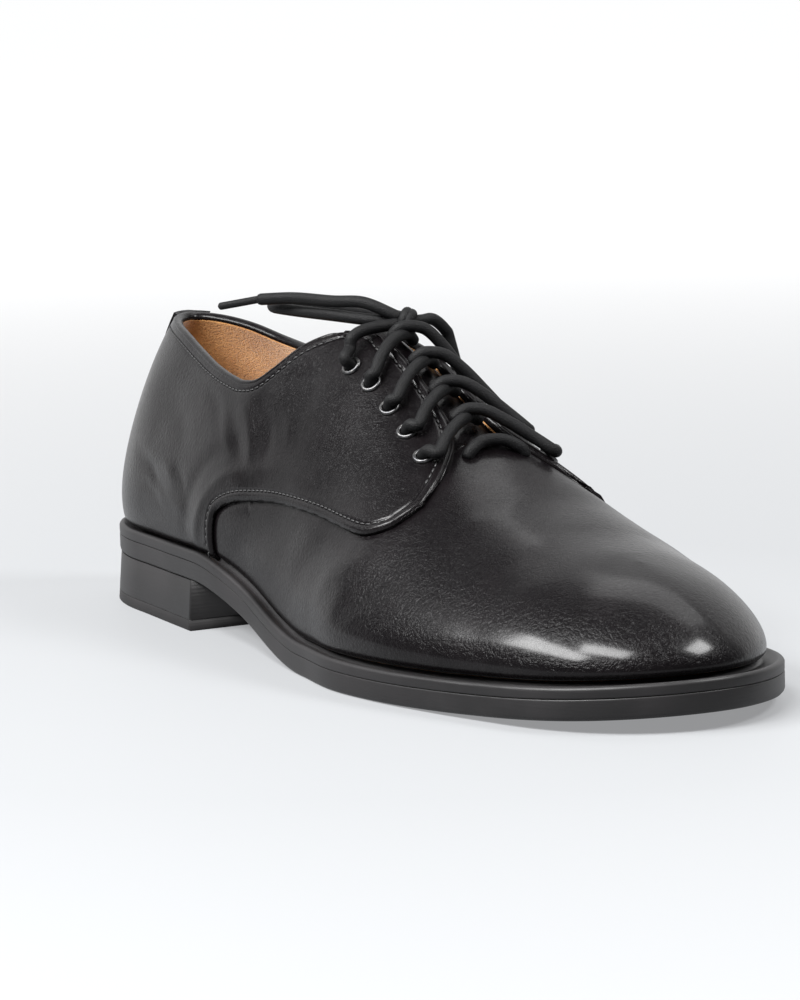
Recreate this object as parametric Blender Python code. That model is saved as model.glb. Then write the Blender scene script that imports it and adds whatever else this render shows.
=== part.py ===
"""Derby shoe: a right shoe, empty, standing on its sole.

x runs from the back of the heel to the toe, y to the medial (inner) side and z up from the floor.
All lengths are in metres. The pieces are modelled from the back of the heel, and an empty then
puts the middle of the sole's plan at the origin.
"""

import math

import bmesh
import bpy
import numpy as np
from mathutils import Vector

# Driving dimensions
SHOE_LENGTH = 0.298
BALL_HALF_WIDTH = 0.0490
HEEL_HEIGHT = 0.0142
HEEL_LIFT = 0.0030
OUTSOLE = 0.0052
WELT = 0.0030
INSOLE = 0.0042
TOE_SPRING = 0.0044
BREAST = 0.087
BALL_START = 0.169
BALL_END = 0.205
HEEL_FLARE = 0.0008
EDGE_ROUND = 0.0007
GAP = 0.0003

WALL = 0.0017
QUARTER = 0.0012
BACK_HEIGHT = 0.0825
INSTEP_HEIGHT = 0.0800
HEEL_LEDGE = 0.0022
SIDE_LEDGE = 0.0032
TOE_LEDGE = 0.0052
BULGE = 0.0030
BULGE_RISE = 0.22
RIDGE_START = 0.036
RIDGE_END = 0.252

THROAT = 0.1825
LOBE_TIP = 0.1975
SEAM_START = 0.1000
TONGUE = 0.0022
TONGUE_HALF_WIDTH = 0.023
TONGUE_TOP = 0.131
TONGUE_ROOT = 0.196
TONGUE_CORNER = 0.008
TONGUE_ROUNDING = 0.4
STRAP_HALF_WIDTH = 0.0080
STRAP_DROP = 0.016
STRAP_TAPER = 0.8
STRAP = 0.0012

EYELETS = 5
EYELET_OUTER = 0.0029
EYELET_BORE = 0.0018
EYELET_HEIGHT = 0.0008
EYELET_CROWN = 0.0004
EYELET_TOP = 0.1435
EYELET_BOTTOM = 0.1845
EYELET_TOP_SETBACK = 0.0150
EYELET_BOTTOM_SETBACK = 0.0185
LACE = 0.0033
TIP = 0.0021
BAR_PLACE = 0.1865
BAR_HALF_LENGTH = 0.0068
TIP_LENGTH = 0.0125
KNOT = (0.1418, 0.0050, 0.0877)
KNOT_RADIUS = 0.0040

# Half widths of the sole's outline, as shares of the ball's half width
OUTLINE = (
    # along, lateral, medial
    (0.00, 0.575, 0.594),
    (0.06, 0.580, 0.620),
    (0.14, 0.615, 0.652),
    (0.25, 0.690, 0.614),
    (0.34, 0.750, 0.560),
    (0.42, 0.787, 0.542),
    (0.50, 0.868, 0.620),
    (0.58, 0.950, 0.774),
    (0.65, 1.020, 0.920),
    (0.72, 1.000, 1.000),
    (0.80, 0.920, 0.965),
    (0.88, 0.815, 0.840),
    (1.00, 0.760, 0.650),
)
HEEL_ROUND = 0.148
TOE_ROUND = 0.143

# The welt's edge: how far it lies inside the outline, and its height as a share of the welt
WELT_EDGE = (
    # inwards, height
    (0.0007, 0.00),
    (0.0000, 0.25),
    (0.0000, 0.65),
    (0.0007, 0.92),
    (0.0021, 1.00),
)
WELT_HEEL_SHARE = 0.7

# The last's ridge: its height as a share of the instep's, and its sideways place as a share of the ball
RIDGE = (
    # along, height, sideways
    (0.000, 1.170, 0.080),
    (0.150, 1.170, 0.070),
    (0.300, 1.170, 0.050),
    (0.420, 1.130, 0.050),
    (0.500, 1.030, 0.055),
    (0.560, 0.885, 0.060),
    (0.620, 0.745, 0.070),
    (0.700, 0.598, 0.080),
    (0.780, 0.508, 0.080),
    (0.860, 0.455, 0.060),
    (0.930, 0.410, 0.030),
    (1.000, 0.340, 0.000),
)

# How full the wall is across and upwards, and its swell over the feather edge as a share of BULGE
FULLNESS = (
    # along, across, upwards, swell
    (0.000, 2.00, 1.60, 0.50),
    (0.150, 1.90, 1.60, 0.70),
    (0.340, 1.70, 1.65, 0.50),
    (0.500, 1.65, 1.60, 0.40),
    (0.620, 1.85, 1.70, 0.70),
    (0.750, 2.20, 1.90, 0.90),
    (0.880, 2.40, 2.00, 0.45),
    (1.000, 2.50, 2.10, 0.16),
)

# The topline's height as a share of the back's height
TOPLINE = (
    # along, lateral, medial
    (0.000, 1.000, 1.000),
    (0.050, 1.000, 1.000),
    (0.110, 0.978, 0.962),
    (0.150, 0.956, 0.922),
    (0.200, 0.915, 0.893),
    (0.250, 0.876, 0.872),
    (0.292, 0.852, 0.856),
    (0.329, 0.842, 0.852),
    (0.355, 0.858, 0.866),
    (0.375, 0.905, 0.905),
    (0.395, 0.965, 0.962),
    (0.420, 1.008, 1.004),
    (0.450, 1.030, 1.028),
    (0.475, 1.015, 1.015),
    (0.495, 0.985, 0.985),
    (0.520, 0.980, 0.980),
    (0.600, 0.980, 0.980),
)

# The quarter's lower edge: its height as a share of the back's height
SEAM = (
    # along, height
    (0.335, 0.260),
    (0.341, 0.400),
    (0.359, 0.455),
    (0.400, 0.481),
    (0.456, 0.497),
    (0.529, 0.489),
    (0.582, 0.472),
    (0.615, 0.459),
    (0.636, 0.463),
    (0.653, 0.486),
    (0.661, 0.520),
    (0.664, 0.555),
)

# The facing's edge: its distance from the ridge as a share of the ball's half width
FACING = (
    # along, distance
    (0.440, 0.125),
    (0.590, 0.125),
    (0.600, 0.135),
    (0.617, 0.200),
    (0.636, 0.300),
    (0.650, 0.415),
    (0.658, 0.510),
    (0.664, 0.560),
)

# One lace strand over the throat: distance from the middle line as a share of its eyelet's, and height
# of its centre over the last as a share of the lace
STRAND = (
    # along the strand, away, height
    (0.00, 1.00, 1.20),
    (0.30, 0.66, 1.12),
    (0.52, 0.44, 1.06),
    (0.70, 0.20, 0.84),
    (0.82, 0.00, 0.58),
    (1.00, -0.22, 0.00),
)

# How far a strand climbs, as a share of the way to the next eyelet up
STRAND_RISE = 0.85

# Routes of the lace's free stretches, chosen by hand: from an eyelet to the knot, or from the knot outwards
LATERAL_TOP = ((0.1420, -0.0128, 0.0815), (0.1418, -0.0118, 0.0845), (0.1420, -0.0080, 0.0864))
MEDIAL_TOP = ((0.1425, 0.0182, 0.0815), (0.1428, 0.0165, 0.0850), (0.1434, 0.0125, 0.0880))
LOOP = (
    (0.1375, 0.0074, 0.0882),
    (0.1330, 0.0064, 0.0888),
    (0.1220, 0.0032, 0.0897),
    (0.1080, -0.0005, 0.0905),
    (0.0978, -0.0034, 0.0908),
    (0.0945, -0.0065, 0.0909),
    (0.0950, -0.0102, 0.0908),
    (0.0985, -0.0125, 0.0904),
    (0.1034, -0.0127, 0.0902),
    (0.1127, -0.0110, 0.0898),
    (0.1244, -0.0080, 0.0893),
    (0.1345, -0.0028, 0.0884),
)
FREE_END = (
    (0.1406, 0.0020, 0.0930),
    (0.1383, -0.0008, 0.0936),
    (0.1345, -0.0040, 0.0931),
    (0.1254, -0.0085, 0.0932),
    (0.1121, -0.0132, 0.0936),
    (0.1015, -0.0188, 0.0930),
)
TIP_TURN = (-0.83, -0.53, -0.17)

LEATHER = ((0.018, 0.016, 0.017), 0.38, 0.0)
SOLE_BLACK = ((0.012, 0.012, 0.012), 0.5, 0.0)
RUBBER = ((0.010, 0.010, 0.010), 0.7, 0.0)
LINING = ((0.55, 0.29, 0.11), 0.85, 0.0)
METAL = ((0.10, 0.10, 0.11), 0.3, 1.0)
LACE_BLACK = ((0.010, 0.010, 0.010), 0.55, 0.0)

COLUMNS = 88
SOLE_COLUMNS = 72
HEEL_COLUMNS = 40
SEAM_CROWDING = (4.0, 0.004)
LOBE_CROWDING = (3.0, 0.009)
LAST_STEPS = 160
VAMP_ROWS = 6
QUARTER_ROWS = 8
RIDGE_ROWS = 4
TOE_SPLIT = 0.62
STEP_FADE = 0.05
TONGUE_STATIONS = 17
TONGUE_ACROSS = 6
STRAP_ACROSS = 6
STRAP_UP = 5
EYELET_TURNS = 12


def column(table, index):
    return np.array([row[index] for row in table])


def smooth(table, index, share):
    """Smooth curve through one column of a table, by cubic pieces with averaged slopes."""
    stations = column(table, 0)
    values = column(table, index)
    slopes = np.gradient(values, stations)
    share = np.clip(share, stations[0], stations[-1])
    row = np.clip(np.searchsorted(stations, share) - 1, 0, len(stations) - 2)
    span = stations[row + 1] - stations[row]
    k = (share - stations[row]) / span
    start = values[row] * (1 + 2 * k) * (1 - k) ** 2 + slopes[row] * span * k * (1 - k) ** 2
    end = values[row + 1] * k ** 2 * (3 - 2 * k) - slopes[row + 1] * span * k ** 2 * (1 - k)
    return start + end


def caps(u):
    """Round ends of the outline: 1 along the shoe, falling to 0 at the heel and the toe."""
    heel = np.clip(1 - u / HEEL_ROUND, 0, 1)
    toe = np.clip((u - 1 + TOE_ROUND) / TOE_ROUND, 0, 1)
    return np.sqrt(np.clip(1 - heel ** 2.3, 0, 1)) * np.sqrt(np.clip(1 - toe ** 2.2, 0, 1))


def along(theta):
    return 0.5 * (1 - np.cos(theta))


def outline(theta, heel_ledge=0.0, side_ledge=0.0, toe_ledge=0.0):
    """Plan points round the shoe: heel at 0, lateral side to the toe at pi, medial side back."""
    u = along(theta)
    lateral = np.sin(theta) >= 0
    share = np.where(lateral, smooth(OUTLINE, 1, u), smooth(OUTLINE, 2, u))
    half = (share * BALL_HALF_WIDTH - side_ledge) * caps(u)
    x = heel_ledge + (SHOE_LENGTH - heel_ledge - toe_ledge) * u
    return np.stack([x, np.where(lateral, -half, half)], -1)


def feather(theta):
    return outline(theta, HEEL_LEDGE, SIDE_LEDGE, TOE_LEDGE)


def plan_normal(curve, theta):
    """Outward unit normal in plan of a curve round the shoe."""
    step = 2e-3
    d = curve(theta + step) - curve(theta - step)
    n = np.stack([d[..., 1], -d[..., 0]], -1)
    return n / np.linalg.norm(n, axis=-1, keepdims=True)


def inset(theta, distance):
    """The feather edge moved inwards by a distance."""
    return feather(theta) - plan_normal(feather, theta) * distance


def sole_bottom(x):
    """Height of the outsole's underside: level over the heel, down to the ball, up at the toe."""
    k = np.clip((x - BREAST) / (BALL_START - BREAST), 0, 1)
    z = HEEL_HEIGHT * (1 - k * k * (3 - 2 * k))
    lift = np.clip((x - BALL_END) / (SHOE_LENGTH - BALL_END), 0, 1)
    return z + TOE_SPRING * lift ** 2


def feather_height(x):
    return sole_bottom(x) + OUTSOLE + WELT + 2 * GAP


def ridge_point(theta):
    u = along(theta)
    x = RIDGE_START + (RIDGE_END - RIDGE_START) * u
    return np.stack([x, smooth(RIDGE, 2, x / SHOE_LENGTH) * BALL_HALF_WIDTH], -1)


def last(theta, t):
    """The last's surface: t is 0 on the feather edge and 1 on the ridge."""
    foot = feather(theta)
    top = ridge_point(theta)
    u = along(theta)
    across = 2 / smooth(FULLNESS, 1, u)
    upwards = 2 / smooth(FULLNESS, 2, u)
    phi = np.clip(t, 0, 1) * math.pi / 2
    reach = np.cos(phi) ** across
    rise = np.sin(phi) ** upwards
    swell = rise / BULGE_RISE * np.exp(1 - rise / BULGE_RISE) * BULGE * smooth(FULLNESS, 3, u)
    bulge = plan_normal(feather, theta) * (swell * reach)[..., None]
    plan = top + (foot - top) * reach[..., None] + bulge
    x = plan[..., 0]
    base = feather_height(foot[..., 0])
    peak = smooth(RIDGE, 1, x / SHOE_LENGTH) * INSTEP_HEIGHT
    z = base + (peak - base) * rise
    return np.concatenate([plan, z[..., None]], -1)


def last_normal(theta, t):
    """Outward unit normal of the last's surface, from its slopes round and up."""
    t = np.clip(t, 0.004, 0.996)
    round_step = last(theta + 2e-3, t) - last(theta - 2e-3, t)
    up_step = last(theta, t + 2e-3) - last(theta, t - 2e-3)
    n = np.cross(round_step, up_step)
    n = n / np.linalg.norm(n, axis=-1, keepdims=True)
    away = np.einsum('...i,...i', n[..., :2], plan_normal(feather, theta)) + n[..., 2]
    return n * np.sign(away)[..., None]


def skin(theta, t, offset):
    """The last's surface moved outwards by an offset, but never under the feather edge's height."""
    points = last(theta, t) + last_normal(theta, t) * np.asarray(offset)[..., None]
    points[..., 2] = np.maximum(points[..., 2], feather_height(points[..., 0]))
    return points


def first_crossing(values, steps):
    """Where each row of values first rises through zero, as a share of its steps."""
    above = values > 0
    index = np.argmax(above, axis=1)
    index = np.where(above.any(axis=1), np.maximum(index, 1), len(steps) - 1)
    rows = np.arange(len(values))
    low, high = values[rows, index - 1], values[rows, index]
    k = np.where(above.any(axis=1), np.clip(-low / np.where(high == low, 1, high - low), 0, 1), 1)
    return steps[index - 1] + (steps[index] - steps[index - 1]) * k


def side_value(table, theta, share):
    lateral = np.sin(theta) >= 0
    return np.where(lateral, smooth(table, 1, share), smooth(table, 2, share))


def wall_grid(theta):
    """Points of the wall at even steps up each column, with the middle line's place beside them."""
    steps = np.linspace(0, 1, LAST_STEPS)
    grid_theta = np.repeat(theta[:, None], LAST_STEPS, 1)
    points = last(grid_theta, np.repeat(steps[None], len(theta), 0))
    middle = smooth(RIDGE, 2, points[..., 0] / SHOE_LENGTH) * BALL_HALF_WIDTH
    return steps, grid_theta, points, np.abs(points[..., 1] - middle)


def edges(theta):
    """How far up each column the quarter's lower edge and its topline or facing edge lie."""
    steps, grid_theta, points, away = wall_grid(theta)
    share = points[..., 0] / SHOE_LENGTH
    over_top = points[..., 2] - side_value(TOPLINE, grid_theta, share) * BACK_HEIGHT
    over_top = np.where(share > TOPLINE[-2][0], -1, over_top)
    over_facing = smooth(FACING, 1, share) * BALL_HALF_WIDTH - away
    over_facing = np.where(share < FACING[0][0], -1, over_facing)
    top = first_crossing(np.maximum(over_top, over_facing), steps)
    over_seam = points[..., 2] - smooth(SEAM, 1, share) * BACK_HEIGHT
    over_seam = np.where(share < SEAM_START / SHOE_LENGTH, 1, over_seam)
    over_seam = np.where(share > LOBE_TIP / SHOE_LENGTH, -1, over_seam)
    seam = first_crossing(over_seam, steps)
    seam = np.where(over_seam[:, 0] > 0, 0, seam)
    bare = (seam >= top) & (points[:, 0, 0] > THROAT)
    top = np.where(bare, TOE_SPLIT, top)
    return np.minimum(seam, top), top


def columns(count):
    """Angles round the shoe, the same on both sides, closer together where the quarter's edge is steep."""
    dense = np.linspace(0, math.pi, 2000)
    x = SHOE_LENGTH * along(dense)
    near_seam = SEAM_CROWDING[0] * np.exp(-((x - SEAM_START) / SEAM_CROWDING[1]) ** 2)
    near_lobe = LOBE_CROWDING[0] * np.exp(-((x - LOBE_TIP) / LOBE_CROWDING[1]) ** 2)
    weight = 1 + near_seam + near_lobe
    total = np.concatenate([[0], np.cumsum(weight[1:])])
    side = np.interp(np.linspace(0, total[-1], count // 2 + 1), total, dense)
    return np.concatenate([side, 2 * math.pi - side[-2:0:-1]])


def collection(name):
    made = bpy.data.collections.new(name)
    bpy.context.scene.collection.children.link(made)
    return made


def material(name, look):
    colour, roughness, metallic = look
    made = bpy.data.materials.new(name)
    made.use_nodes = True
    shader = made.node_tree.nodes["Principled BSDF"]
    shader.inputs["Base Color"].default_value = (*colour, 1.0)
    shader.inputs["Roughness"].default_value = roughness
    shader.inputs["Metallic"].default_value = metallic
    return made


def add_mesh(name, points, faces, look, group):
    """A named object from points and faces, with its doubled points merged and its faces turned out."""
    mesh = bpy.data.meshes.new(name)
    mesh.from_pydata([tuple(p) for p in points], [], faces)
    shape = bmesh.new()
    shape.from_mesh(mesh)
    bmesh.ops.remove_doubles(shape, verts=shape.verts, dist=2e-6)
    bmesh.ops.dissolve_degenerate(shape, dist=1e-6, edges=shape.edges)
    bmesh.ops.recalc_face_normals(shape, faces=shape.faces)
    if shape.calc_volume(signed=True) < 0:
        bmesh.ops.reverse_faces(shape, faces=shape.faces)
    shape.to_mesh(mesh)
    shape.free()
    mesh.shade_smooth()
    mesh.set_sharp_from_angle(angle=math.radians(40))
    made = bpy.data.objects.new(name, mesh)
    made.data.materials.append(material(name, look))
    group.objects.link(made)
    return made


def ring_faces(first, second, count):
    """Quads between two closed rows of points that start at the given numbers."""
    return [(first + i, first + (i + 1) % count, second + (i + 1) % count, second + i) for i in range(count)]


def sheet_cap(first, across):
    """Closes the end of a sheet whose section runs out along one face and back along the other."""
    last_point = first + 2 * across + 1
    return [(first + m, first + m + 1, last_point - m - 1, last_point - m) for m in range(across)]


def strip_cap(first, count):
    """Closes a row of points that is the same on both sides with strips across it."""
    pairs = [(first + i, first + (count - i) % count) for i in range(count // 2 + 1)]
    faces = []
    for (a, b), (c, d) in zip(pairs, pairs[1:]):
        faces.append(tuple(dict.fromkeys((a, b, d, c))))
    return faces


def stacked(name, rows, look, group, closed_section=False):
    """A solid from rows of points round the shoe: capped at both ends, or closed into a ring."""
    count = len(rows[0])
    points = np.concatenate(rows)
    faces = []
    for i in range(len(rows) - 1):
        faces += ring_faces(i * count, (i + 1) * count, count)
    if closed_section:
        faces += ring_faces((len(rows) - 1) * count, 0, count)
    else:
        faces += strip_cap(0, count)
        faces += strip_cap((len(rows) - 1) * count, count)
    return add_mesh(name, points, faces, look, group)


def at_height(plan, height):
    return np.concatenate([plan, height[:, None]], 1)


def make_outsole(group):
    theta = columns(SOLE_COLUMNS)
    rows = []
    for inward, share in ((EDGE_ROUND, 0.0), (0.0, 0.16), (0.0, 0.84), (EDGE_ROUND, 1.0)):
        plan = outline(theta, inward, inward, inward)
        rows.append(at_height(plan, sole_bottom(plan[:, 0]) + OUTSOLE * share))
    return stacked("outsole", rows, SOLE_BLACK, group)


def make_welt(group):
    """The welt lies on the outsole's edge and carries the upper's wall."""
    theta = columns(SOLE_COLUMNS)
    rows = []
    for inward, share in WELT_EDGE:
        plan = outline(theta, inward * WELT_HEEL_SHARE, inward, inward)
        rows.append(at_height(plan, sole_bottom(plan[:, 0]) + OUTSOLE + GAP + WELT * share))
    inner = inset(theta, WALL + GAP)
    base = sole_bottom(inner[:, 0]) + OUTSOLE + GAP
    rows.append(at_height(inner, base + WELT))
    rows.append(at_height(inner, base))
    return stacked("welt", rows, SOLE_BLACK, group, closed_section=True)


def make_insole(group):
    theta = columns(SOLE_COLUMNS)
    rows = []
    for inward, share in ((0.0, 0.0), (0.0, 0.8), (EDGE_ROUND, 1.0)):
        plan = inset(theta, WALL + 3 * GAP + inward)
        rows.append(at_height(plan, sole_bottom(plan[:, 0]) + OUTSOLE + GAP + INSOLE * share))
    return stacked("insole", rows, LINING, group)


def heel_outline(z):
    """The sole's outline behind the breast, spread out towards the floor and closed by the breast."""
    stop = math.acos(1 - 2 * BREAST / SHOE_LENGTH)
    side = np.linspace(0, stop, HEEL_COLUMNS // 2 + 1)
    theta = np.concatenate([side, 2 * math.pi - side[:0:-1]])
    spread = HEEL_FLARE - (HEEL_FLARE + EDGE_ROUND / 2) * z / HEEL_HEIGHT
    plan = outline(theta) + plan_normal(outline, theta) * spread
    plan[:, 0] = np.minimum(plan[:, 0], BREAST)
    return at_height(plan, np.full(len(plan), z))


def make_heel_layer(name, low, high, look, group):
    return stacked(name, [heel_outline(low), heel_outline(high)], look, group)


def make_upper(group):
    """One hollow solid: the vamp's skin, the quarter as a step outwards, and the lining side."""
    theta = columns(COLUMNS)
    count = len(theta)
    seam, top = edges(theta)
    band = np.clip((top - seam) / STEP_FADE, 0, 1)
    step = QUARTER * band * band * (3 - 2 * band)
    open_top = ridge_point(theta)[:, 0] < THROAT

    def rows(start, stop, number, offset):
        shares = [start + (stop - start) * k / number for k in range(number + 1)]
        return [skin(theta, share, offset * np.ones(count)) for share in shares]

    full = np.where(open_top, top, 1.0)
    bands = ((0 * seam, seam, VAMP_ROWS, 0.0), (seam, top, QUARTER_ROWS, step), (top, full, RIDGE_ROWS, 0.0))
    outer = [rows(start, stop, number, offset) for start, stop, number, offset in bands]
    inner = [rows(start, stop, number, -WALL) for start, stop, number, _ in bands]
    mirror = (count - np.arange(count)) % count
    for side in (outer, inner):
        ridge = side[2][-1]
        joined = 0.5 * (ridge + ridge[mirror])
        side[2][-1] = np.where(open_top[:, None], ridge, joined)

    points = []
    faces = []
    numbers = {}
    for key, side in (("outer", outer), ("inner", inner)):
        for b, band_rows in enumerate(side):
            for k, row in enumerate(band_rows):
                numbers[key, b, k] = len(points)
                points.extend(row)

    def quads(a, b, keep=None, flip=False):
        for i in range(count):
            j = (i + 1) % count
            if keep is not None and not keep[i]:
                continue
            face = (a + i, a + j, b + j, b + i)
            faces.append(face[::-1] if flip else face)

    closed = ~open_top & ~np.roll(open_top, -1)
    for b, number in enumerate((VAMP_ROWS, QUARTER_ROWS, RIDGE_ROWS)):
        for k in range(number):
            keep = closed if b == 2 else None
            quads(numbers["outer", b, k], numbers["outer", b, k + 1], keep)
            quads(numbers["inner", b, k], numbers["inner", b, k + 1], keep, flip=True)
    quads(numbers["outer", 0, VAMP_ROWS], numbers["outer", 1, 0])
    quads(numbers["outer", 1, QUARTER_ROWS], numbers["outer", 2, 0])
    quads(numbers["inner", 0, 0], numbers["outer", 0, 0])
    quads(numbers["outer", 2, 0], numbers["inner", 2, 0], ~closed)
    for i in range(count):
        before, after = closed[i - 1], closed[i]
        if before == after:
            continue
        for k in range(RIDGE_ROWS):
            low, high = numbers["outer", 2, k] + i, numbers["outer", 2, k + 1] + i
            low_in, high_in = numbers["inner", 2, k] + i, numbers["inner", 2, k + 1] + i
            face = (low, high, high_in, low_in)
            faces.append(face if after else face[::-1])
    return add_mesh("upper", points, faces, LEATHER, group)


def locate(x, away, lateral):
    """The angle and rise of the point of the last at a place along and a distance from the ridge line."""
    side = np.linspace(0.6, math.pi - 0.5, 220)
    theta = side if lateral else 2 * math.pi - side
    steps, grid_theta, points, gap = wall_grid(theta)
    miss = np.hypot(points[..., 0] - x, gap - away)
    i, j = np.unravel_index(miss.argmin(), miss.shape)
    spot = np.array([theta[i], steps[j]])
    for _ in range(6):
        spots = spot + np.array([[0, 0], [1e-4, 0], [0, 1e-4]])
        p = last(spots[:, 0], spots[:, 1])
        middle = smooth(RIDGE, 2, p[:, 0] / SHOE_LENGTH) * BALL_HALF_WIDTH
        f = np.stack([p[:, 0] - x, np.abs(p[:, 1] - middle) - away], -1)
        slope = np.stack([(f[1] - f[0]) / 1e-4, (f[2] - f[0]) / 1e-4], -1)
        spot = spot - np.linalg.solve(slope, f[0])
    return spot


def eyelet_station(number):
    """Place along the shoe and distance from the ridge line of one eyelet, 0 at the top."""
    k = number / (EYELETS - 1)
    x = EYELET_TOP + (EYELET_BOTTOM - EYELET_TOP) * k
    return x, EYELET_TOP_SETBACK + (EYELET_BOTTOM_SETBACK - EYELET_TOP_SETBACK) * k ** 2


def eyelet_place(number, lateral):
    """Centre on the quarter's surface and outward direction of one eyelet."""
    x, away = eyelet_station(number)
    theta, t = locate(x, away, lateral)
    theta, t = np.array([theta]), np.array([t])
    return skin(theta, t, np.array([QUARTER]))[0], last_normal(theta, t)[0]


def make_tongue(group):
    """A bent sheet inside the facings, wider than the slot and longer at both ends."""
    stations = np.linspace(TONGUE_TOP, TONGUE_ROOT, TONGUE_STATIONS)
    steps_across = np.linspace(0, 1, TONGUE_ACROSS + 1)
    share = (stations - RIDGE_START) / (RIDGE_END - RIDGE_START)
    lateral = np.arccos(1 - 2 * share)
    from_end = np.minimum(stations - TONGUE_TOP, TONGUE_ROOT - stations) / TONGUE_CORNER
    half = TONGUE_HALF_WIDTH * (1 - TONGUE_ROUNDING * np.clip(1 - from_end, 0, 1) ** 2)
    rows = []
    for depth in (WALL + 2 * GAP, WALL + 2 * GAP + TONGUE):
        sheet = []
        for theta in (lateral, 2 * math.pi - lateral):
            steps, _, _, away = wall_grid(theta)
            start = first_crossing(half[:, None] - away, steps)
            inwards = np.full(len(theta), -depth)
            side = [skin(theta, start + (1 - start) * k, inwards) for k in steps_across]
            sheet.append(np.stack(side, 1))
        middle = 0.5 * (sheet[0][:, -1:] + sheet[1][:, -1:])
        rows.append(np.concatenate([sheet[0][:, :-1], middle, sheet[1][:, -2::-1]], 1))
    section = np.concatenate([rows[0], rows[1][:, ::-1]], 1)
    count = section.shape[1]
    last_row = (len(stations) - 1) * count
    faces = []
    for k in range(len(stations) - 1):
        faces += ring_faces(k * count, (k + 1) * count, count)
    faces += sheet_cap(0, 2 * TONGUE_ACROSS) + sheet_cap(last_row, 2 * TONGUE_ACROSS)
    return add_mesh("tongue", section.reshape(-1, 3), faces, LEATHER, group)


def make_strap(group):
    """The strip over the back seam, on the quarter's outer face, narrower at its foot."""
    steps = np.linspace(-1, 1, STRAP_ACROSS + 1)
    heel_width = np.linalg.norm(feather(np.array([0.5]))[0] - feather(np.array([-0.5]))[0])
    turn = steps * STRAP_HALF_WIDTH / heel_width
    low_theta = turn * STRAP_TAPER
    theta_top = np.where(turn < 0, turn + 2 * math.pi, turn)
    theta_low = np.where(low_theta < 0, low_theta + 2 * math.pi, low_theta)
    _, top = edges(theta_top)
    shares, _, points, _ = wall_grid(theta_low)
    low = first_crossing(points[..., 2] - (BACK_HEIGHT - STRAP_DROP), shares)
    sheets = []
    for offset in (QUARTER + GAP, QUARTER + GAP + STRAP):
        rows = []
        for k in np.linspace(0, 1, STRAP_UP + 1):
            turned = low_theta + (turn - low_theta) * k
            rows.append(skin(turned, low + (top - low) * k, np.full(len(steps), offset)))
        sheets.append(rows)
    sections = [np.concatenate([inner, outer[::-1]]) for inner, outer in zip(*sheets)]
    count = len(sections[0])
    faces = []
    for k in range(STRAP_UP):
        faces += ring_faces(k * count, (k + 1) * count, count)
    faces += sheet_cap(0, STRAP_ACROSS) + sheet_cap(STRAP_UP * count, STRAP_ACROSS)
    return add_mesh("back_strap", np.concatenate(sections), faces, LEATHER, group)


def toward(direction):
    """Turns +Z to a direction."""
    return Vector(direction).to_track_quat('Z', 'Y')


def make_eyelets(group, upper, cutters):
    """Flanged rings on the quarters, and the holes under them."""
    crown = ((EYELET_OUTER - EYELET_CROWN, EYELET_HEIGHT), (EYELET_BORE + EYELET_CROWN / 2, EYELET_HEIGHT))
    section = ((EYELET_BORE, 0.0), (EYELET_OUTER, 0.0), *crown)
    turns = EYELET_TURNS
    angles = np.linspace(0, 2 * math.pi, turns, endpoint=False)
    rows = [np.stack([r * np.cos(angles), r * np.sin(angles), np.full(turns, z)], 1) for r, z in section]
    faces = []
    for k in range(len(rows)):
        faces += ring_faces(k * turns, (k + 1) % len(rows) * turns, turns)
    for side, lateral in (("lateral", True), ("medial", False)):
        for number in range(EYELETS):
            centre, direction = eyelet_place(number, lateral)
            ring = add_mesh(f"eyelet_{side}_{number + 1}", np.concatenate(rows), faces, METAL, group)
            ring.location = Vector(centre + direction * GAP)
            ring.rotation_mode = 'QUATERNION'
            ring.rotation_quaternion = toward(direction)
            hole = add_hole(f"hole_{side}_{number + 1}", centre, direction, cutters)
            cut = upper.modifiers.new(hole.name, 'BOOLEAN')
            cut.operation = 'DIFFERENCE'
            cut.solver = 'EXACT'
            cut.object = hole


def add_hole(name, centre, direction, group):
    """A cutter the size of an eyelet's bore, long enough to pass the whole wall."""
    mesh = bpy.data.meshes.new(name)
    shape = bmesh.new()
    size = {"radius1": EYELET_BORE, "radius2": EYELET_BORE, "depth": 4 * (WALL + QUARTER)}
    bmesh.ops.create_cone(shape, cap_ends=True, segments=EYELET_TURNS, **size)
    shape.to_mesh(mesh)
    shape.free()
    made = bpy.data.objects.new(name, mesh)
    made.location = Vector(centre)
    made.rotation_mode = 'QUATERNION'
    made.rotation_quaternion = toward(direction)
    made.hide_render = True
    made.display_type = 'WIRE'
    group.objects.link(made)
    return made


def rounded(route, spacing):
    """Even points on a smooth curve through a route's own points."""
    route = np.array(route)
    padded = np.concatenate([2 * route[:1] - route[1:2], route, 2 * route[-1:] - route[-2:-1]])
    pieces = []
    for a, b, c, d in zip(padded, padded[1:], padded[2:], padded[3:]):
        k = np.linspace(0, 1, 16, endpoint=False)[:, None]
        bend = (2 * a - 5 * b + 4 * c - d) * k ** 2 + (3 * b - a - 3 * c + d) * k ** 3
        pieces.append(0.5 * (2 * b + (c - a) * k + bend))
    fine = np.concatenate(pieces + [route[-1:]])
    length = np.concatenate([[0], np.cumsum(np.linalg.norm(np.diff(fine, axis=0), axis=1))])
    number = max(3, int(round(length[-1] / spacing)) + 1)
    even = np.linspace(0, length[-1], number)
    return np.stack([np.interp(even, length, fine[:, i]) for i in range(3)], 1)


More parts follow.
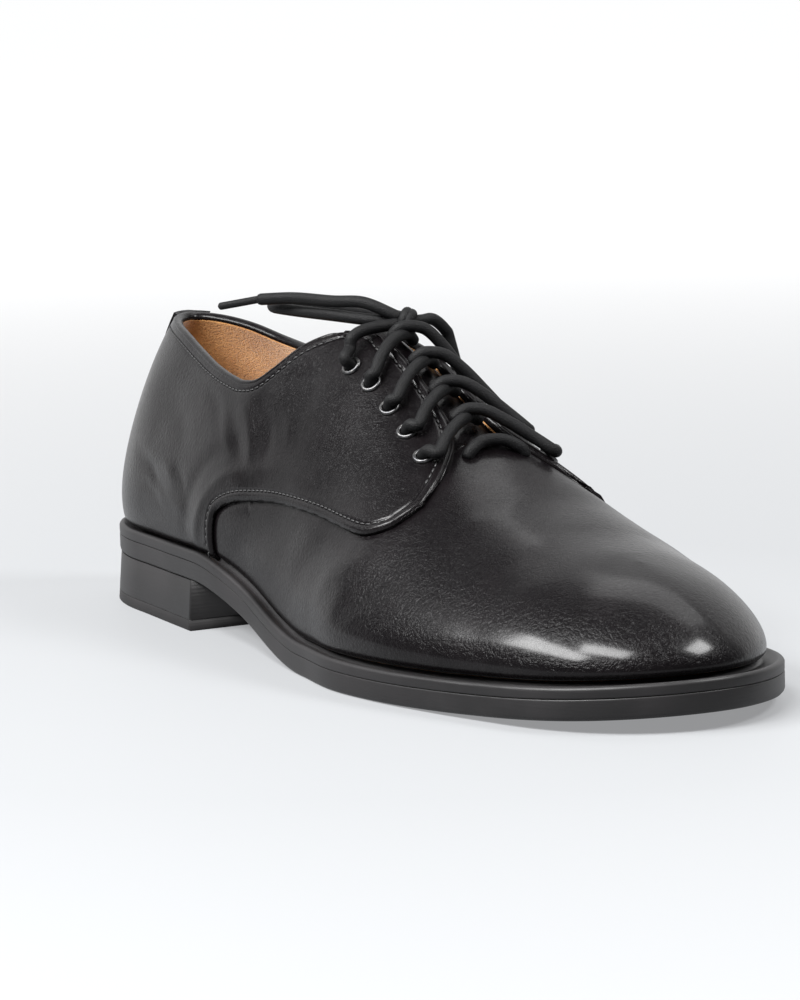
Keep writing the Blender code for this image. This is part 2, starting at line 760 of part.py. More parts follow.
def add_tube(name, route, diameter, look, group, spacing=1.4):
    """A round cord through a route, as a curve with closed ends."""
    points = rounded(route, spacing * diameter)
    curve = bpy.data.curves.new(name, 'CURVE')
    curve.dimensions = '3D'
    curve.bevel_depth = diameter / 2
    curve.bevel_resolution = 2
    curve.use_fill_caps = True
    line = curve.splines.new('POLY')
    line.points.add(len(points) - 1)
    for point, place in zip(line.points, points):
        point.co = (*place, 1.0)
    made = bpy.data.objects.new(name, curve)
    made.data.materials.append(material(name, look))
    group.objects.link(made)
    return made


def as_mesh(made):
    """Swaps a curve object for a mesh of the same shape, with its caps welded on."""
    evaluated = made.evaluated_get(bpy.context.evaluated_depsgraph_get())
    shape = bmesh.new()
    shape.from_mesh(bpy.data.meshes.new_from_object(evaluated))
    bmesh.ops.remove_doubles(shape, verts=shape.verts, dist=1e-6)
    mesh = bpy.data.meshes.new(made.name)
    shape.to_mesh(mesh)
    shape.free()
    mesh.materials.append(made.data.materials[0])
    swapped = bpy.data.objects.new(made.name, mesh)
    for group in made.users_collection:
        group.objects.link(swapped)
    name = made.name
    bpy.data.objects.remove(made, do_unlink=True)
    swapped.name = name
    return swapped


def over_throat(x, away, height):
    """A point over the ridge: away is negative on the lateral side, height is over the last."""
    u = (x - RIDGE_START) / (RIDGE_END - RIDGE_START)
    theta = math.acos(1 - 2 * u)
    theta = np.array([theta if away < 0 else 2 * math.pi - theta])
    steps, _, _, gap = wall_grid(theta)
    t = first_crossing(abs(away) - gap, steps)
    return skin(theta, t, np.array([height]))[0]


def lace_start(number, lateral):
    """Where a strand starts: over the middle of its eyelet, clear of the ring."""
    centre, direction = eyelet_place(number, lateral)
    return centre + direction * (EYELET_HEIGHT + 4 * GAP + LACE / 2)


def strand(number, lateral):
    """Route of the strand from one eyelet over the throat towards the next one up on the other side."""
    start_x, away = eyelet_station(number)
    rise = (EYELET_BOTTOM - EYELET_TOP) / (EYELETS - 1) * STRAND_RISE
    side = -1 if lateral else 1
    route = [lace_start(number, lateral)]
    for share, out, height in STRAND[1:]:
        route.append(over_throat(start_x - rise * share, side * away * out, LACE * height + GAP))
    return route


def make_laces(group, cutters):
    bar = [over_throat(BAR_PLACE, side * BAR_HALF_LENGTH, LACE / 2 + GAP) for side in (-1, -0.4, 0.4, 1)]
    add_tube("lace_bar", bar, LACE, LACE_BLACK, group, 0.8)
    for number in range(1, EYELETS):
        name = f"lace_cross_{EYELETS - number}"
        first = as_mesh(add_tube(name, strand(number, True), LACE, LACE_BLACK, group, 1.0))
        second = as_mesh(add_tube(f"{name}_other", strand(number, False), LACE, LACE_BLACK, cutters, 1.0))
        second.hide_render = True
        second.display_type = 'WIRE'
        join = first.modifiers.new("crossing", 'BOOLEAN')
        join.operation = 'UNION'
        join.solver = 'EXACT'
        join.object = second


def off_knot(point):
    """The place on the way to a point where a strand just clears the knot."""
    way = np.array(point) - np.array(KNOT)
    return np.array(KNOT) + way / np.linalg.norm(way) * (KNOT_RADIUS + 2 * GAP)


def make_bow(group):
    knot = bpy.data.meshes.new("lace_knot")
    shape = bmesh.new()
    bmesh.ops.create_uvsphere(shape, u_segments=12, v_segments=8, radius=KNOT_RADIUS)
    shape.to_mesh(knot)
    shape.free()
    made = bpy.data.objects.new("lace_knot", knot)
    made.location = KNOT
    made.data.materials.append(material("lace_knot", LACE_BLACK))
    group.objects.link(made)
    top_strands = (("lace_top_lateral", LATERAL_TOP, True), ("lace_top_medial", MEDIAL_TOP, False))
    for name, route, lateral in top_strands:
        way = [lace_start(0, lateral), *route, off_knot(route[-1])]
        add_tube(name, way, LACE, LACE_BLACK, group, 1.0)
    add_tube("lace_loop", [off_knot(LOOP[0]), *LOOP, off_knot(LOOP[-1])], LACE, LACE_BLACK, group)
    add_tube("lace_end", [off_knot(FREE_END[0]), *FREE_END], LACE, LACE_BLACK, group)
    turn = np.array(TIP_TURN) / np.linalg.norm(TIP_TURN)
    start = np.array(FREE_END[-1]) + turn * GAP
    tip = [start + turn * TIP_LENGTH * share for share in (0.0, 0.5, 1.0)]
    add_tube("lace_tip", tip, TIP, LACE_BLACK, group, 3.0)


def place_origin(group):
    """Parents every piece to an empty that puts the middle of the plan at the world's origin."""
    bpy.context.view_layer.update()
    solid = [made for made in group.objects if not made.name.startswith("lace_")]
    corners = [made.matrix_world @ Vector(corner) for made in solid for corner in made.bound_box]
    middle = [(max(c[i] for c in corners) + min(c[i] for c in corners)) / 2 for i in (0, 1)]
    holder = bpy.data.objects.new("shoe_origin", None)
    group.objects.link(holder)
    holder.location = (-middle[0], -middle[1], 0.0)
    return holder


def clear_scene():
    for thing in list(bpy.data.objects):
        bpy.data.objects.remove(thing, do_unlink=True)


def main():
    clear_scene()
    shoe = collection("derby_shoe")
    cutters = collection("cutters")
    make_outsole(shoe)
    make_welt(shoe)
    make_insole(shoe)
    make_heel_layer("heel_top_piece", 0.0, HEEL_LIFT, RUBBER, shoe)
    make_heel_layer("heel_stack", HEEL_LIFT + GAP, HEEL_HEIGHT - GAP, SOLE_BLACK, shoe)
    upper = make_upper(shoe)
    make_tongue(shoe)
    make_strap(shoe)
    make_eyelets(shoe, upper, cutters)
    make_laces(shoe, cutters)
    make_bow(shoe)
    holder = place_origin(shoe)
    for made in (*shoe.objects, *cutters.objects):
        if made is not holder:
            made.parent = holder


main()
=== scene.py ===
# %% [markdown]
# # A black plain-toe derby shoe
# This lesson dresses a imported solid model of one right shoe. The solids give the true sizes. Over them
# come finer surfaces for the leather, the seams, the sole's edge and the laces, each worked out from the
# same last. The last is the foot-shaped form that a shoemaker pulls the leather over.

import math

import bmesh
import bpy
import numpy as np
from mathutils import Matrix, Vector


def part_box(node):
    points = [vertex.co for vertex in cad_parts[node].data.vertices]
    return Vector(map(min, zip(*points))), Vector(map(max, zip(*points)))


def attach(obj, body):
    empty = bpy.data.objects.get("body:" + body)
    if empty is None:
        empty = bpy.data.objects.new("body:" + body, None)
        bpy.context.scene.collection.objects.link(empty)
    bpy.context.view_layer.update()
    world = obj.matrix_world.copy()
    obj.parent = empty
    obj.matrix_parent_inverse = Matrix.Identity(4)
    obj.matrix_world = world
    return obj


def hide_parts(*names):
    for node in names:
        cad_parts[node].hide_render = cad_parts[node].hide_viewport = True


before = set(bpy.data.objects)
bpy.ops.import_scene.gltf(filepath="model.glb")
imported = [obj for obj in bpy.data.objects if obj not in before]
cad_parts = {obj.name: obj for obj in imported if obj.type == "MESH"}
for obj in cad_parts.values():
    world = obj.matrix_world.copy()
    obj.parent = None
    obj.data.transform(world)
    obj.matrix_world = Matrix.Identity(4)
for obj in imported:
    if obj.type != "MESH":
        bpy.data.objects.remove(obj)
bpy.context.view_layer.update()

# %% [markdown]
# ## Where things are
# The shoe is drawn from the back of the heel: x runs to the toe, y to the inner side and z up. The solid
# model stands with its middle at the world's origin, so one small step turns drawn places into placed
# ones. The sizes below are the same ones that the solids were made from. OUTER_SWELL is how far the sole
# stands out past the ball's half width on the outer side, as a share of it.

# %% Sizes of the shoe, in metres
SHOE_LENGTH = 0.298
BALL_HALF_WIDTH = 0.0490
OUTER_SWELL = 0.0208
HEEL_HEIGHT = 0.0142
HEEL_LIFT = 0.0030
OUTSOLE = 0.0052
WELT = 0.0030
TOE_SPRING = 0.0044
BREAST = 0.087
BALL_START = 0.169
BALL_END = 0.205
HEEL_FLARE = 0.0008
GAP = 0.0003
WALL = 0.0017
QUARTER = 0.0012
BACK_HEIGHT = 0.0825
INSTEP_HEIGHT = 0.0800
HEEL_LEDGE = 0.0022
SIDE_LEDGE = 0.0032
TOE_LEDGE = 0.0052
BULGE = 0.0030
BULGE_RISE = 0.22
RIDGE_START = 0.036
RIDGE_END = 0.252
THROAT = 0.1825
LOBE_TIP = 0.1975
SEAM_START = 0.1000
TONGUE = 0.0022
TONGUE_HALF_WIDTH = 0.023
TONGUE_TOP = 0.131
TONGUE_ROOT = 0.196
EYELETS = 5
EYELET_OUTER = 0.0029
EYELET_BORE = 0.0018
EYELET_HEIGHT = 0.0008
EYELET_TOP = 0.1435
EYELET_BOTTOM = 0.1845
EYELET_TOP_SETBACK = 0.0150
EYELET_BOTTOM_SETBACK = 0.0185
LACE = 0.0033
TIP = 0.0021
TIP_LENGTH = 0.0125
MM = 0.001

low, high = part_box("outsole")
middle_y = (low.y + high.y) / 2 + OUTER_SWELL * BALL_HALF_WIDTH / 2
ORIGIN = np.array([-low.x, -middle_y, 0.0])
print("the back of the heel lies at x =", round(low.x * 1000, 2), "mm")


def placed(points):
    """Drawn places turned into places in the world: each point less the origin's own place."""
    return np.asarray(points, float) - ORIGIN


# %% [markdown]
# ## The camera
# The photograph was taken from the outer side and a little in front, from just above the floor's level and
# more than a metre off, so the shoe shows little perspective. The spot and the lens are kept, and the
# camera is only turned to put this one shoe in the middle of the picture.

# %% Camera
CAMERA_SPOT = (1.0658, -0.5233, 0.1800)
PHOTO_AZIMUTH = math.radians(58.16)
PHOTO_PITCH = math.radians(2.76)
PHOTO_ROLL = math.radians(-1.44)
LENS = 142.0


def photo_axes():
    """Right, up and back of the photograph's camera: azimuth and pitch turn it, and roll leans it."""
    a, e, r = PHOTO_AZIMUTH, PHOTO_PITCH, PHOTO_ROLL
    back = np.array([math.sin(a) * math.cos(e), -math.cos(a) * math.cos(e), math.sin(e)])
    right = np.array([math.cos(a), math.sin(a), 0.0])
    up = np.cross(back, right)
    return right * math.cos(r) + up * math.sin(r), up * math.cos(r) - right * math.sin(r), back


def aimed_camera(target):
    """The photograph's camera turned towards a target, keeping its own up as nearly as it can."""
    spot = placed(CAMERA_SPOT)
    _, up, _ = photo_axes()
    back = spot - np.array(target)
    back /= np.linalg.norm(back)
    up = up - back * (up @ back)
    up /= np.linalg.norm(up)
    turn = Matrix(np.stack([np.cross(up, back), up, back], 1).tolist())
    eye = bpy.data.cameras.new("camera")
    eye.lens = LENS
    made = bpy.data.objects.new("camera", eye)
    made.matrix_world = Matrix.Translation(Vector(spot)) @ turn.to_4x4()
    bpy.context.scene.collection.objects.link(made)
    bpy.context.scene.camera = made
    return made


AIM = (0.004, -0.004, 0.041)
camera = aimed_camera(AIM)
print("camera stands", round(camera.location.z * 1000), "mm above the floor")

# %% [markdown]
# ## The last
# Everything on the shoe follows the last, so it comes first. It is a function of two numbers: theta goes
# round the shoe from the heel by the outer side to the toe and back, and t goes up from the sole's edge to
# the ridge. Short tables hold how the outline, the ridge and the fullness change along the shoe.

# %% Tables of the last
# Half widths of the sole's outline, as shares of the ball's half width
OUTLINE = (
    # along, lateral, medial
    (0.00, 0.575, 0.594), (0.06, 0.580, 0.620), (0.14, 0.615, 0.652), (0.25, 0.690, 0.614),
    (0.34, 0.750, 0.560), (0.42, 0.787, 0.542), (0.50, 0.868, 0.620), (0.58, 0.950, 0.774),
    (0.65, 1.020, 0.920), (0.72, 1.000, 1.000), (0.80, 0.920, 0.965), (0.88, 0.815, 0.840),
    (1.00, 0.760, 0.650),
)
HEEL_ROUND = 0.148
TOE_ROUND = 0.143

# The ridge's height as a share of the instep's, and its sideways place as a share of the ball's half width
RIDGE = (
    # along, height, sideways
    (0.000, 1.170, 0.080), (0.150, 1.170, 0.070), (0.300, 1.170, 0.050), (0.420, 1.130, 0.050),
    (0.500, 1.030, 0.055), (0.560, 0.885, 0.060), (0.620, 0.745, 0.070), (0.700, 0.598, 0.080),
    (0.780, 0.508, 0.080), (0.860, 0.455, 0.060), (0.930, 0.410, 0.030), (1.000, 0.340, 0.000),
)

# How full the wall is across and upwards, and its swell over the feather edge as a share of BULGE
FULLNESS = (
    # along, across, upwards, swell
    (0.000, 2.00, 1.60, 0.50), (0.150, 1.90, 1.60, 0.70), (0.340, 1.70, 1.65, 0.50),
    (0.500, 1.65, 1.60, 0.40), (0.620, 1.85, 1.70, 0.70), (0.750, 2.20, 1.90, 0.90),
    (0.880, 2.40, 2.00, 0.45), (1.000, 2.50, 2.10, 0.16),
)

# The topline's height as a share of the back's height
TOPLINE = (
    # along, lateral, medial
    (0.000, 1.000, 1.000), (0.050, 1.000, 1.000), (0.110, 0.978, 0.962), (0.150, 0.956, 0.922),
    (0.200, 0.915, 0.893), (0.250, 0.876, 0.872), (0.292, 0.852, 0.856), (0.329, 0.842, 0.852),
    (0.355, 0.858, 0.866), (0.375, 0.905, 0.905), (0.395, 0.965, 0.962), (0.420, 1.008, 1.004),
    (0.450, 1.030, 1.028), (0.475, 1.015, 1.015), (0.495, 0.985, 0.985), (0.520, 0.980, 0.980),
    (0.600, 0.980, 0.980),
)

# The quarter's lower edge: its height as a share of the back's height
SEAM = (
    # along, height
    (0.335, 0.260), (0.341, 0.400), (0.359, 0.455), (0.400, 0.481), (0.456, 0.497), (0.529, 0.489),
    (0.582, 0.472), (0.615, 0.459), (0.636, 0.463), (0.653, 0.486), (0.661, 0.520), (0.664, 0.555),
)

# The facing's edge: its distance from the ridge as a share of the ball's half width
FACING = (
    # along, distance
    (0.440, 0.125), (0.590, 0.125), (0.600, 0.135), (0.617, 0.200), (0.636, 0.300), (0.650, 0.415),
    (0.658, 0.510), (0.664, 0.560),
)


# %% [markdown]
# ## The last as a function
# A smooth curve through each table gives the outline, the ridge and the fullness at any place. Each column
# of the last then runs from the sole's edge to the ridge like a quarter of a rounded square. The leather is
# this form moved outwards along its normal.

# %% The last as a function
def smooth(table, index, share):
    """Smooth curve through one column of a table: cubic pieces whose slopes are averaged at each row."""
    stations = np.array([row[0] for row in table])
    values = np.array([row[index] for row in table])
    slopes = np.gradient(values, stations)
    share = np.clip(share, stations[0], stations[-1])
    row = np.clip(np.searchsorted(stations, share) - 1, 0, len(stations) - 2)
    span = stations[row + 1] - stations[row]
    k = (share - stations[row]) / span
    start = values[row] * (1 + 2 * k) * (1 - k) ** 2 + slopes[row] * span * k * (1 - k) ** 2
    end = values[row + 1] * k ** 2 * (3 - 2 * k) - slopes[row + 1] * span * k ** 2 * (1 - k)
    return start + end


def along(theta):
    """Share of the shoe's length at an angle: half of one less the cosine."""
    return 0.5 * (1 - np.cos(theta))


def caps(u):
    """Round ends of the outline: 1 along the shoe, falling to 0 at the heel and the toe."""
    heel = np.clip(1 - u / HEEL_ROUND, 0, 1)
    toe = np.clip((u - 1 + TOE_ROUND) / TOE_ROUND, 0, 1)
    return np.sqrt(np.clip(1 - heel ** 2.3, 0, 1)) * np.sqrt(np.clip(1 - toe ** 2.2, 0, 1))


def outline(theta, heel_ledge=0.0, side_ledge=0.0, toe_ledge=0.0):
    """Plan of the sole: the table's half width times its round ends, set out to either side."""
    u = along(theta)
    lateral = np.sin(theta) >= 0
    share = np.where(lateral, smooth(OUTLINE, 1, u), smooth(OUTLINE, 2, u))
    half = (share * BALL_HALF_WIDTH - side_ledge) * caps(u)
    x = heel_ledge + (SHOE_LENGTH - heel_ledge - toe_ledge) * u
    return np.stack([x, np.where(lateral, -half, half)], -1)


def feather(theta):
    """The feather edge: the outline drawn in by the ledges, where the leather meets the sole."""
    return outline(theta, HEEL_LEDGE, SIDE_LEDGE, TOE_LEDGE)


def plan_normal(curve, theta):
    """Outward unit normal in plan: the curve's own direction turned by a right angle."""
    step = 2e-3
    d = curve(theta + step) - curve(theta - step)
    n = np.stack([d[..., 1], -d[..., 0]], -1)
    return n / np.linalg.norm(n, axis=-1, keepdims=True)


def sole_bottom(x):
    """Height of the outsole's underside: level at the heel, down to the ball, up again at the toe."""
    k = np.clip((x - BREAST) / (BALL_START - BREAST), 0, 1)
    lift = np.clip((x - BALL_END) / (SHOE_LENGTH - BALL_END), 0, 1)
    return HEEL_HEIGHT * (1 - k * k * (3 - 2 * k)) + TOE_SPRING * lift ** 2


def feather_height(x):
    """Height at which the leather starts: the sole's underside, the sole, the welt and two gaps."""
    return sole_bottom(x) + OUTSOLE + WELT + 2 * GAP


def middle_line(x):
    """Sideways place of the ridge: the table's share of the ball's half width."""
    return smooth(RIDGE, 2, x / SHOE_LENGTH) * BALL_HALF_WIDTH


def ridge_point(theta):
    """Plan of the ridge at an angle: its share of the length, from the ridge's start to its end."""
    x = RIDGE_START + (RIDGE_END - RIDGE_START) * along(theta)
    return np.stack([x, middle_line(x)], -1)


def last(theta, t):
    """The last: each column runs from the feather edge to the ridge on a curve like a rounded square."""
    foot = feather(theta)
    top = ridge_point(theta)
    u = along(theta)
    phi = np.clip(t, 0, 1) * math.pi / 2
    reach = np.cos(phi) ** (2 / smooth(FULLNESS, 1, u))
    rise = np.sin(phi) ** (2 / smooth(FULLNESS, 2, u))
    swell = rise / BULGE_RISE * np.exp(1 - rise / BULGE_RISE) * BULGE * smooth(FULLNESS, 3, u)
    plan = top + (foot - top) * reach[..., None]
    plan = plan + plan_normal(feather, theta) * (swell * reach)[..., None]
    base = feather_height(foot[..., 0])
    peak = smooth(RIDGE, 1, plan[..., 0] / SHOE_LENGTH) * INSTEP_HEIGHT
    return np.concatenate([plan, (base + (peak - base) * rise)[..., None]], -1)


def last_normal(theta, t):
    """Outward unit normal: the slope round the shoe crossed with the slope up it."""
    t = np.clip(t, 0.004, 0.996)
    round_step = last(theta + 2e-3, t) - last(theta - 2e-3, t)
    up_step = last(theta, t + 2e-3) - last(theta, t - 2e-3)
    n = np.cross(round_step, up_step)
    n = n / np.linalg.norm(n, axis=-1, keepdims=True)
    away = (n[..., :2] * plan_normal(feather, theta)).sum(-1) + n[..., 2]
    return n * np.sign(away)[..., None]


def skin(theta, t, offset=0.0):
    """The last moved outwards along its normal by an offset, and kept off the welt."""
    theta, t = np.broadcast_arrays(np.asarray(theta, float), np.asarray(t, float))
    points = last(theta, t) + last_normal(theta, t) * np.broadcast_to(offset, theta.shape)[..., None]
    points[..., 2] = np.maximum(points[..., 2], feather_height(points[..., 0]))
    return points


sample = skin(np.linspace(0, 2 * math.pi, 200), np.full(200, 0.5))
print("half way up, the last is", round(np.ptp(sample[:, 1]) * 1000, 1), "mm wide")

# %% [markdown]
# ## Edges of the leather
# The quarters are the two back panels. Each has a lower edge, a topline round the ankle and a facing edge
# beside the laces. Each edge is found by walking up a column of the last until a height or a distance is
# passed. Distances from these edges then shape the rolled edges, grooves and stitches.

# %% Find the edges
STEPS = 420
EDGE_STEP = 0.4 * MM


def first_crossing(values, steps):
    """Where each row of values first rises through zero, by a straight line between two steps."""
    above = values > 0
    found = above.any(axis=1)
    index = np.where(found, np.maximum(np.argmax(above, axis=1), 1), len(steps) - 1)
    rows = np.arange(len(values))
    below, over = values[rows, index - 1], values[rows, index]
    k = np.where(found, np.clip(-below / np.where(over == below, 1, over - below), 0, 1), 1)
    return steps[index - 1] + (steps[index] - steps[index - 1]) * k


def wall_grid(theta):
    """Places on whole columns of the last, and how far each lies from the middle line."""
    steps = np.linspace(0, 1, STEPS)
    grid_theta = np.repeat(theta[:, None], STEPS, 1)
    points = last(grid_theta, np.repeat(steps[None], len(theta), 0))
    return steps, grid_theta, points, np.abs(points[..., 1] - middle_line(points[..., 0]))


def edges(theta):
    """Shares up each column of the quarter's lower edge, and of its topline or facing edge."""
    steps, grid_theta, points, away = wall_grid(theta)
    share = points[..., 0] / SHOE_LENGTH
    lateral = np.sin(grid_theta) >= 0
    topline = np.where(lateral, smooth(TOPLINE, 1, share), smooth(TOPLINE, 2, share)) * BACK_HEIGHT
    over_top = np.where(share > TOPLINE[-2][0], -1, points[..., 2] - topline)
    over_facing = smooth(FACING, 1, share) * BALL_HALF_WIDTH - away
    over_facing = np.where(share < FACING[0][0], -1, over_facing)
    top = first_crossing(np.maximum(over_top, over_facing), steps)
    over_seam = points[..., 2] - smooth(SEAM, 1, share) * BACK_HEIGHT
    over_seam = np.where(share < SEAM_START / SHOE_LENGTH, 1, over_seam)
    over_seam = np.where(share > LOBE_TIP / SHOE_LENGTH, -1, over_seam)
    seam = np.where(over_seam[:, 0] > 0, 0, first_crossing(over_seam, steps))
    return np.minimum(seam, top), top


def run_length(line):
    """Length of a line up to each of its points: the sum of the steps before it."""
    return np.concatenate([[0], np.cumsum(np.linalg.norm(np.diff(line[:, :3], axis=0), axis=1))])


def even(points, spacing):
    """Points at even distances along a line, with all their columns carried along."""
    length = run_length(points)
    places = np.linspace(0, length[-1], max(4, int(round(length[-1] / spacing)) + 1))
    return np.stack([np.interp(places, length, points[:, i]) for i in range(points.shape[1])], 1)


def on_wall(x, other, side, by_height):
    """Theta and t of places given by x and by height, or by x and distance from the middle line."""
    theta = side * np.linspace(0.2, math.pi - 0.3, 320)
    steps, _, points, away = wall_grid(theta)
    second = points[..., 2] if by_height else away
    miss = (points[..., 0].ravel()[None] - x[:, None]) ** 2 + (second.ravel()[None] - other[:, None]) ** 2
    i, j = np.unravel_index(miss.argmin(axis=1), away.shape)
    spot = np.stack([theta[i], steps[j]], -1)
    for _ in range(6):
        miss = []
        for nudge in ((0, 0), (1e-4, 0), (0, 1e-4)):
            p = last(spot[:, 0] + nudge[0], spot[:, 1] + nudge[1])
            found = p[:, 2] if by_height else np.abs(p[:, 1] - middle_line(p[:, 0]))
            miss.append(np.stack([p[:, 0] - x, found - other], -1))
        slope = np.stack([(miss[1] - miss[0]) / 1e-4, (miss[2] - miss[0]) / 1e-4], -1)
        spot = spot - np.linalg.solve(slope, miss[0][..., None])[..., 0]
        spot[:, 1] = np.clip(spot[:, 1], 0, 1)
    return spot


def curve_through(route):
    """Close points on a curve through a route: a cubic in each piece, whose direction at a point is that
    from the point before to the point after."""
    route = np.array(route, float)
    padded = np.concatenate([2 * route[:1] - route[1:2], route, 2 * route[-1:] - route[-2:-1]])
    a, b, c, d = (padded[first:first + len(route) - 1, None] for first in range(4))
    k = np.linspace(0, 1, 24, endpoint=False)[None, :, None]
    bend = (2 * a - 5 * b + 4 * c - d) * k ** 2 + (3 * b - a - 3 * c + d) * k ** 3
    pieces = 0.5 * (2 * b + (c - a) * k + bend)
    return np.concatenate([pieces.reshape(-1, route.shape[1]), route[-1:]])


def bent(rows, count):
    """A wanted number of even points on a smooth curve through a few rows."""
    path = curve_through(rows)
    length = run_length(path)
    places = np.linspace(0, length[-1], count)
    return np.stack([np.interp(places, length, path[:, i]) for i in range(path.shape[1])], 1)


# The quarter's lower edge from the welt up, over and down to the lobe's tip
LOWER_EDGE = (
    # along, height
    (0.3350, 0.200), (0.3338, 0.275), (0.3332, 0.345), (0.3345, 0.392), (0.3392, 0.425),
    (0.3520, 0.450), (0.3705, 0.469), (0.3968, 0.482), (0.4541, 0.496), (0.5273, 0.492),
    (0.5825, 0.476), (0.6167, 0.465), (0.6363, 0.466), (0.6545, 0.489), (0.6618, 0.524),
    (0.6638, 0.558),
)

# The lobe's front edge from its tip up to the straight part of the facing
LOBE_EDGE = (
    # along, distance
    (0.6638, 0.572), (0.6613, 0.525), (0.6528, 0.425), (0.6404, 0.322), (0.6233, 0.222),
    (0.6044, 0.152), (0.5860, 0.127), (0.5700, 0.125),
)


def edge_points(spots):
    """Edge rows that hold x, y, z on the last, then theta and t."""
    return np.concatenate([last(spots[:, 0], spots[:, 1]), spots], 1)


def lower_edge(side):
    """From the back seam along the welt, then up and over along the quarter's lower edge."""
    rows = bent([(a * SHOE_LENGTH, h * BACK_HEIGHT) for a, h in LOWER_EDGE], 420)
    rise = on_wall(rows[:, 0], rows[:, 1], side, True)
    rise[0, 1] = 0.0
    ground = np.stack([np.linspace(0, rise[0, 0], 300), np.zeros(300)], 1)
    return edge_points(ground[:-1]), edge_points(rise)


def upper_edge(side):
    """From the back seam along the topline, round its corner and down the facing to the lobe's tip."""
    rows = bent([(a * SHOE_LENGTH, d * BALL_HALF_WIDTH) for a, d in LOBE_EDGE[::-1]], 200)
    lobe = on_wall(rows[:, 0], rows[:, 1], side, False)
    theta = np.linspace(0, lobe[0, 0], 1600)
    level = np.stack([theta, edges(theta)[1]], 1)
    return edge_points(np.concatenate([level[:-1], lobe]))


def corner_index(line):
    """Where the topline turns into the facing: the first point that is near the middle line."""
    away = np.abs(line[:, 1] - middle_line(line[:, 0]))
    return int(np.argmax((line[:, 0] > 0.12) & (away < 0.0085)))


SEAM_ANGLE = math.acos(1 - 2 * (SEAM_START - HEEL_LEDGE) / (SHOE_LENGTH - HEEL_LEDGE - TOE_LEDGE))
grounds, seams, tops, collars, facings = {}, {}, {}, {}, {}
for side in (1, -1):
    grounds[side], seams[side] = lower_edge(side)
    tops[side] = upper_edge(side)
    corner = corner_index(tops[side])
    collars[side] = even(tops[side][:corner], EDGE_STEP)
    facings[side] = even(tops[side][corner - 1:], EDGE_STEP)
collar_line = np.concatenate([collars[-1][::-1], collars[1][1:]])
rim_line = np.concatenate([even(seams[1], EDGE_STEP), facings[1], even(seams[-1], EDGE_STEP), facings[-1]])
print("the collar is", round(run_length(collar_line)[-1] / MM), "mm long round the ankle")


def distance(points, line):
    """Distance from each point to the nearest point of a line, all at once in blocks."""
    flat = points.reshape(-1, 3)
    target = line[:, :3]
    result = []
    for block in np.array_split(flat, max(1, len(flat) // 3000)):
        square = (block ** 2).sum(1)[:, None] + (target ** 2).sum(1)[None] - 2 * block @ target.T
        result.append(np.sqrt(np.maximum(square.min(1), 0)))
    return np.concatenate(result).reshape(points.shape[:-1])


# %% [markdown]
# ## Helpers for meshes
# Most pieces are grids: rows of points that make quads. A sheet of leather is two such grids, an outer and
# an inner one, joined round the rim into a closed solid.

# %% Mesh helpers
def grid_quads(rows, count, closed, start=0):
    """Quads of a grid of points, also between its last column and its first where it is closed."""
    r = np.arange(rows - 1)[:, None]
    c = np.arange(count if closed else count - 1)[None]
    d = (c + 1) % count
    quads = np.stack([r * count + c, r * count + d, (r + 1) * count + d, (r + 1) * count + c], -1)
    return quads.reshape(-1, 4) + start


def riding(name, mesh, look):
    """The object of a finished mesh: smooth, in its material, and riding on the shoe."""
    mesh.shade_smooth()
    made = bpy.data.objects.new(name, mesh)
    made.data.materials.append(look)
    bpy.context.scene.collection.objects.link(made)
    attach(made, "root")
    return made


def add_mesh(name, points, quads, look, weld=1e-6):
    """A smooth mesh object from arrays of points and quads, with doubles merged and faces turned out."""
    mesh = bpy.data.meshes.new(name)
    mesh.from_pydata(placed(points).tolist(), [], [tuple(q) for q in np.asarray(quads).tolist()])
    shape = bmesh.new()
    shape.from_mesh(mesh)
    bmesh.ops.remove_doubles(shape, verts=shape.verts, dist=weld)
    bmesh.ops.dissolve_degenerate(shape, dist=1e-7, edges=shape.edges)
    bmesh.ops.recalc_face_normals(shape, faces=shape.faces)
    if shape.calc_volume(signed=True) < 0:
        bmesh.ops.reverse_faces(shape, faces=shape.faces)
    shape.to_mesh(mesh)
    shape.free()
    return riding(name, mesh, look)


def closed_sheet(name, outer, inner, look, closed=False, joined=None):
    """A solid from two grids of the same shape: outside, inside and the rim between them. The last row
    needs no rim in the columns that are joined to their mirror image."""
    rows, count = outer.shape[:2]
    total = rows * count
    quads = [grid_quads(rows, count, closed), grid_quads(rows, count, closed, total)[:, ::-1]]
    c = np.arange(count if closed else count - 1)
    d = (c + 1) % count
    for row in (0, rows - 1):
        near, far = row * count + c, row * count + d
        rim = np.stack([near, far, total + far, total + near], -1)
        quads.append(rim if row == 0 or joined is None else rim[~(joined[c] & joined[d])])
    if not closed:
        r = np.arange(rows - 1) * count
        for column in (0, count - 1):
            quads.append(np.stack([r + column, r + count + column, total + r + count + column,
                                   total + r + column], -1))
    points = np.concatenate([outer.reshape(-1, 3), inner.reshape(-1, 3)])
    return add_mesh(name, points, np.concatenate(quads), look)


def tube_grid(path, side, up, profile):
    """A profile carried along a path: path + side times its first column + up times its second."""
    return path[:, None] + side[:, None] * profile[..., 0, None] + up[:, None] * profile[..., 1, None]


